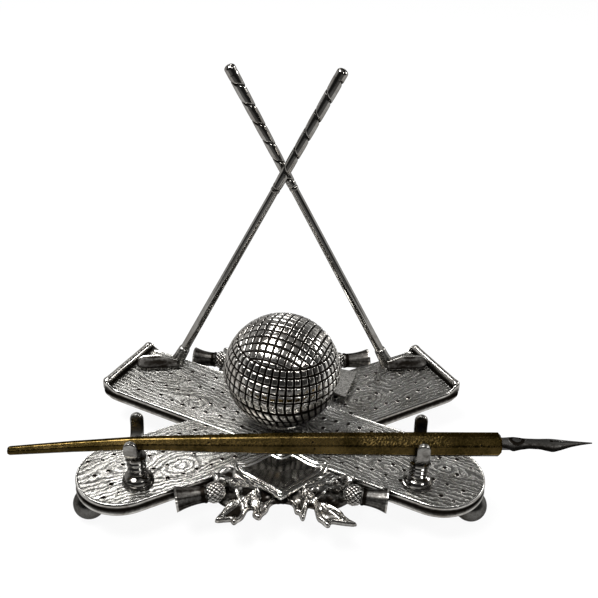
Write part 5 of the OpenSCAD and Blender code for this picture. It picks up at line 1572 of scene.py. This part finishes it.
def floor():
    """A pale floor that mixes its surface with a plain white glow: all of GLOW for camera rays, and for
    glossy rays only behind the table's front end, where its own surface turns dark too."""
    mesh = bpy.data.meshes.new("floor")
    mesh.from_pydata([(-6, -6, 0), (6, -6, 0), (6, 6, 0), (-6, 6, 0)], [], [(0, 1, 2, 3)])
    obj = bpy.data.objects.new("floor", mesh)
    bpy.context.scene.collection.objects.link(obj)
    m = Mat("pale_floor", metallic=0.0)
    grain = m.noise(0.01, 2.0)
    depth = m.node("ShaderNodeSeparateXYZ", m.place(), out="Y")
    on_table = depth.ramp(*TABLE_END)
    pale = m.mix(grain, (0.9, 0.9, 0.9), (0.88, 0.88, 0.88))
    m.set(m.mix(on_table, (0.1, 0.1, 0.1), pale), 0.9)
    camera, glossy, clear = (m.node("ShaderNodeLightPath", out=f"Is {kind} Ray")
                             for kind in ("Camera", "Glossy", "Transmission"))
    ray = camera.max(glossy * on_table).max(clear)
    glow = m.node("ShaderNodeEmission", names={"Color": (1.0, 1.0, 1.0), "Strength": 1.0})
    both = m.node("ShaderNodeMixShader", ray * GLOW, Val(m, m.bsdf.outputs[0]), glow)
    out = next(n for n in m.tree.nodes if n.type == "OUTPUT_MATERIAL")
    m.feed(out.inputs["Surface"], both)
    mesh.materials.append(m.m)
    return m.m.name


print("made", floor())

# %% [markdown]
# ## Room and lamps
# Polished metal shows its surroundings, so the room matters as much as the lamps: white behind, which
# gives the bright reflections, and dark on the camera's side and overhead, which gives the black ones.
# A picture of a studio could do that. A few smooth ramps over the direction of a ray do it by formula,
# and four small lamps add the sharp lights.

# %% Room
class Room(Mat):
    """The world's tree, with the same arithmetic."""

    def __init__(self, name):
        self.world = bpy.data.worlds.new(name)
        bpy.context.scene.world = self.world
        self.world.use_nodes = True
        self.tree = self.world.node_tree
        self.background = next(n for n in self.tree.nodes if n.type == "BACKGROUND")


def studio():
    """White behind the object, dark on the camera's side and darker overhead. x, y and z are the
    direction of a ray, and each ramp takes one of them. The camera sees the room plain white."""
    m = Room("studio")
    way = m.node("ShaderNodeTexCoord", out="Generated")
    x, y, z = (m.node("ShaderNodeSeparateXYZ", way, out=k) for k in "XYZ")
    behind = y.ramp(-0.35, 0.3)
    low = z.ramp(0.17, 0.28, 1.0, 0.0)
    high = z.ramp(0.45, 0.72, 0.40, 0.07)
    aside = x.ramp(-0.35, 0.35, 1.45, 0.5)
    over = z.ramp(0.78, 0.93, 0.0, 0.26)
    before = z.ramp(0.0, 0.8, 0.03, 0.07)
    light = behind * (low + (1.0 - low) * high * aside) + (1.0 - behind) * before + over
    seen = m.node("ShaderNodeLightPath", out="Is Camera Ray")
    m.feed(m.background.inputs["Strength"], light * (1.0 - seen) + seen)
    m.feed(m.background.inputs["Color"], (1.0, 1.0, 1.0))
    return len(m.tree.nodes)


print("nodes in the room's formula", studio())


# %% Lamps
LAMPS = {  # place in metres, size, power
    "key": ((-0.32, -0.05, 0.86), 0.46, 14.0),
    "side": ((0.72, 0.30, 0.40), 0.20, 3.0),
    "fill": ((0.45, -0.45, 0.66), 0.18, 2.0),
    "back": ((-0.25, 0.95, 1.25), 0.28, 4.0),
}
AIM = Vector((0, 0, 0.03))


def lamps():
    """Each lamp is an oblong area, turned so that it looks at the middle of the stand."""
    for name, (at, size, power) in LAMPS.items():
        lamp = bpy.data.lights.new(name, "AREA")
        lamp.shape = "RECTANGLE"
        lamp.size, lamp.size_y = size, size * 0.8
        lamp.energy = power
        obj = bpy.data.objects.new(name, lamp)
        obj.location = at
        obj.rotation_euler = (AIM - Vector(at)).to_track_quat("-Z", "Y").to_euler()
        bpy.context.scene.collection.objects.link(obj)
    return len(LAMPS)


print("lamps", lamps())
bpy.context.scene.view_settings.view_transform = "Standard"

# %% [markdown]
# ## Sizes
# A dressed piece must stay inside the packed one, or it would touch its neighbours when it moves.
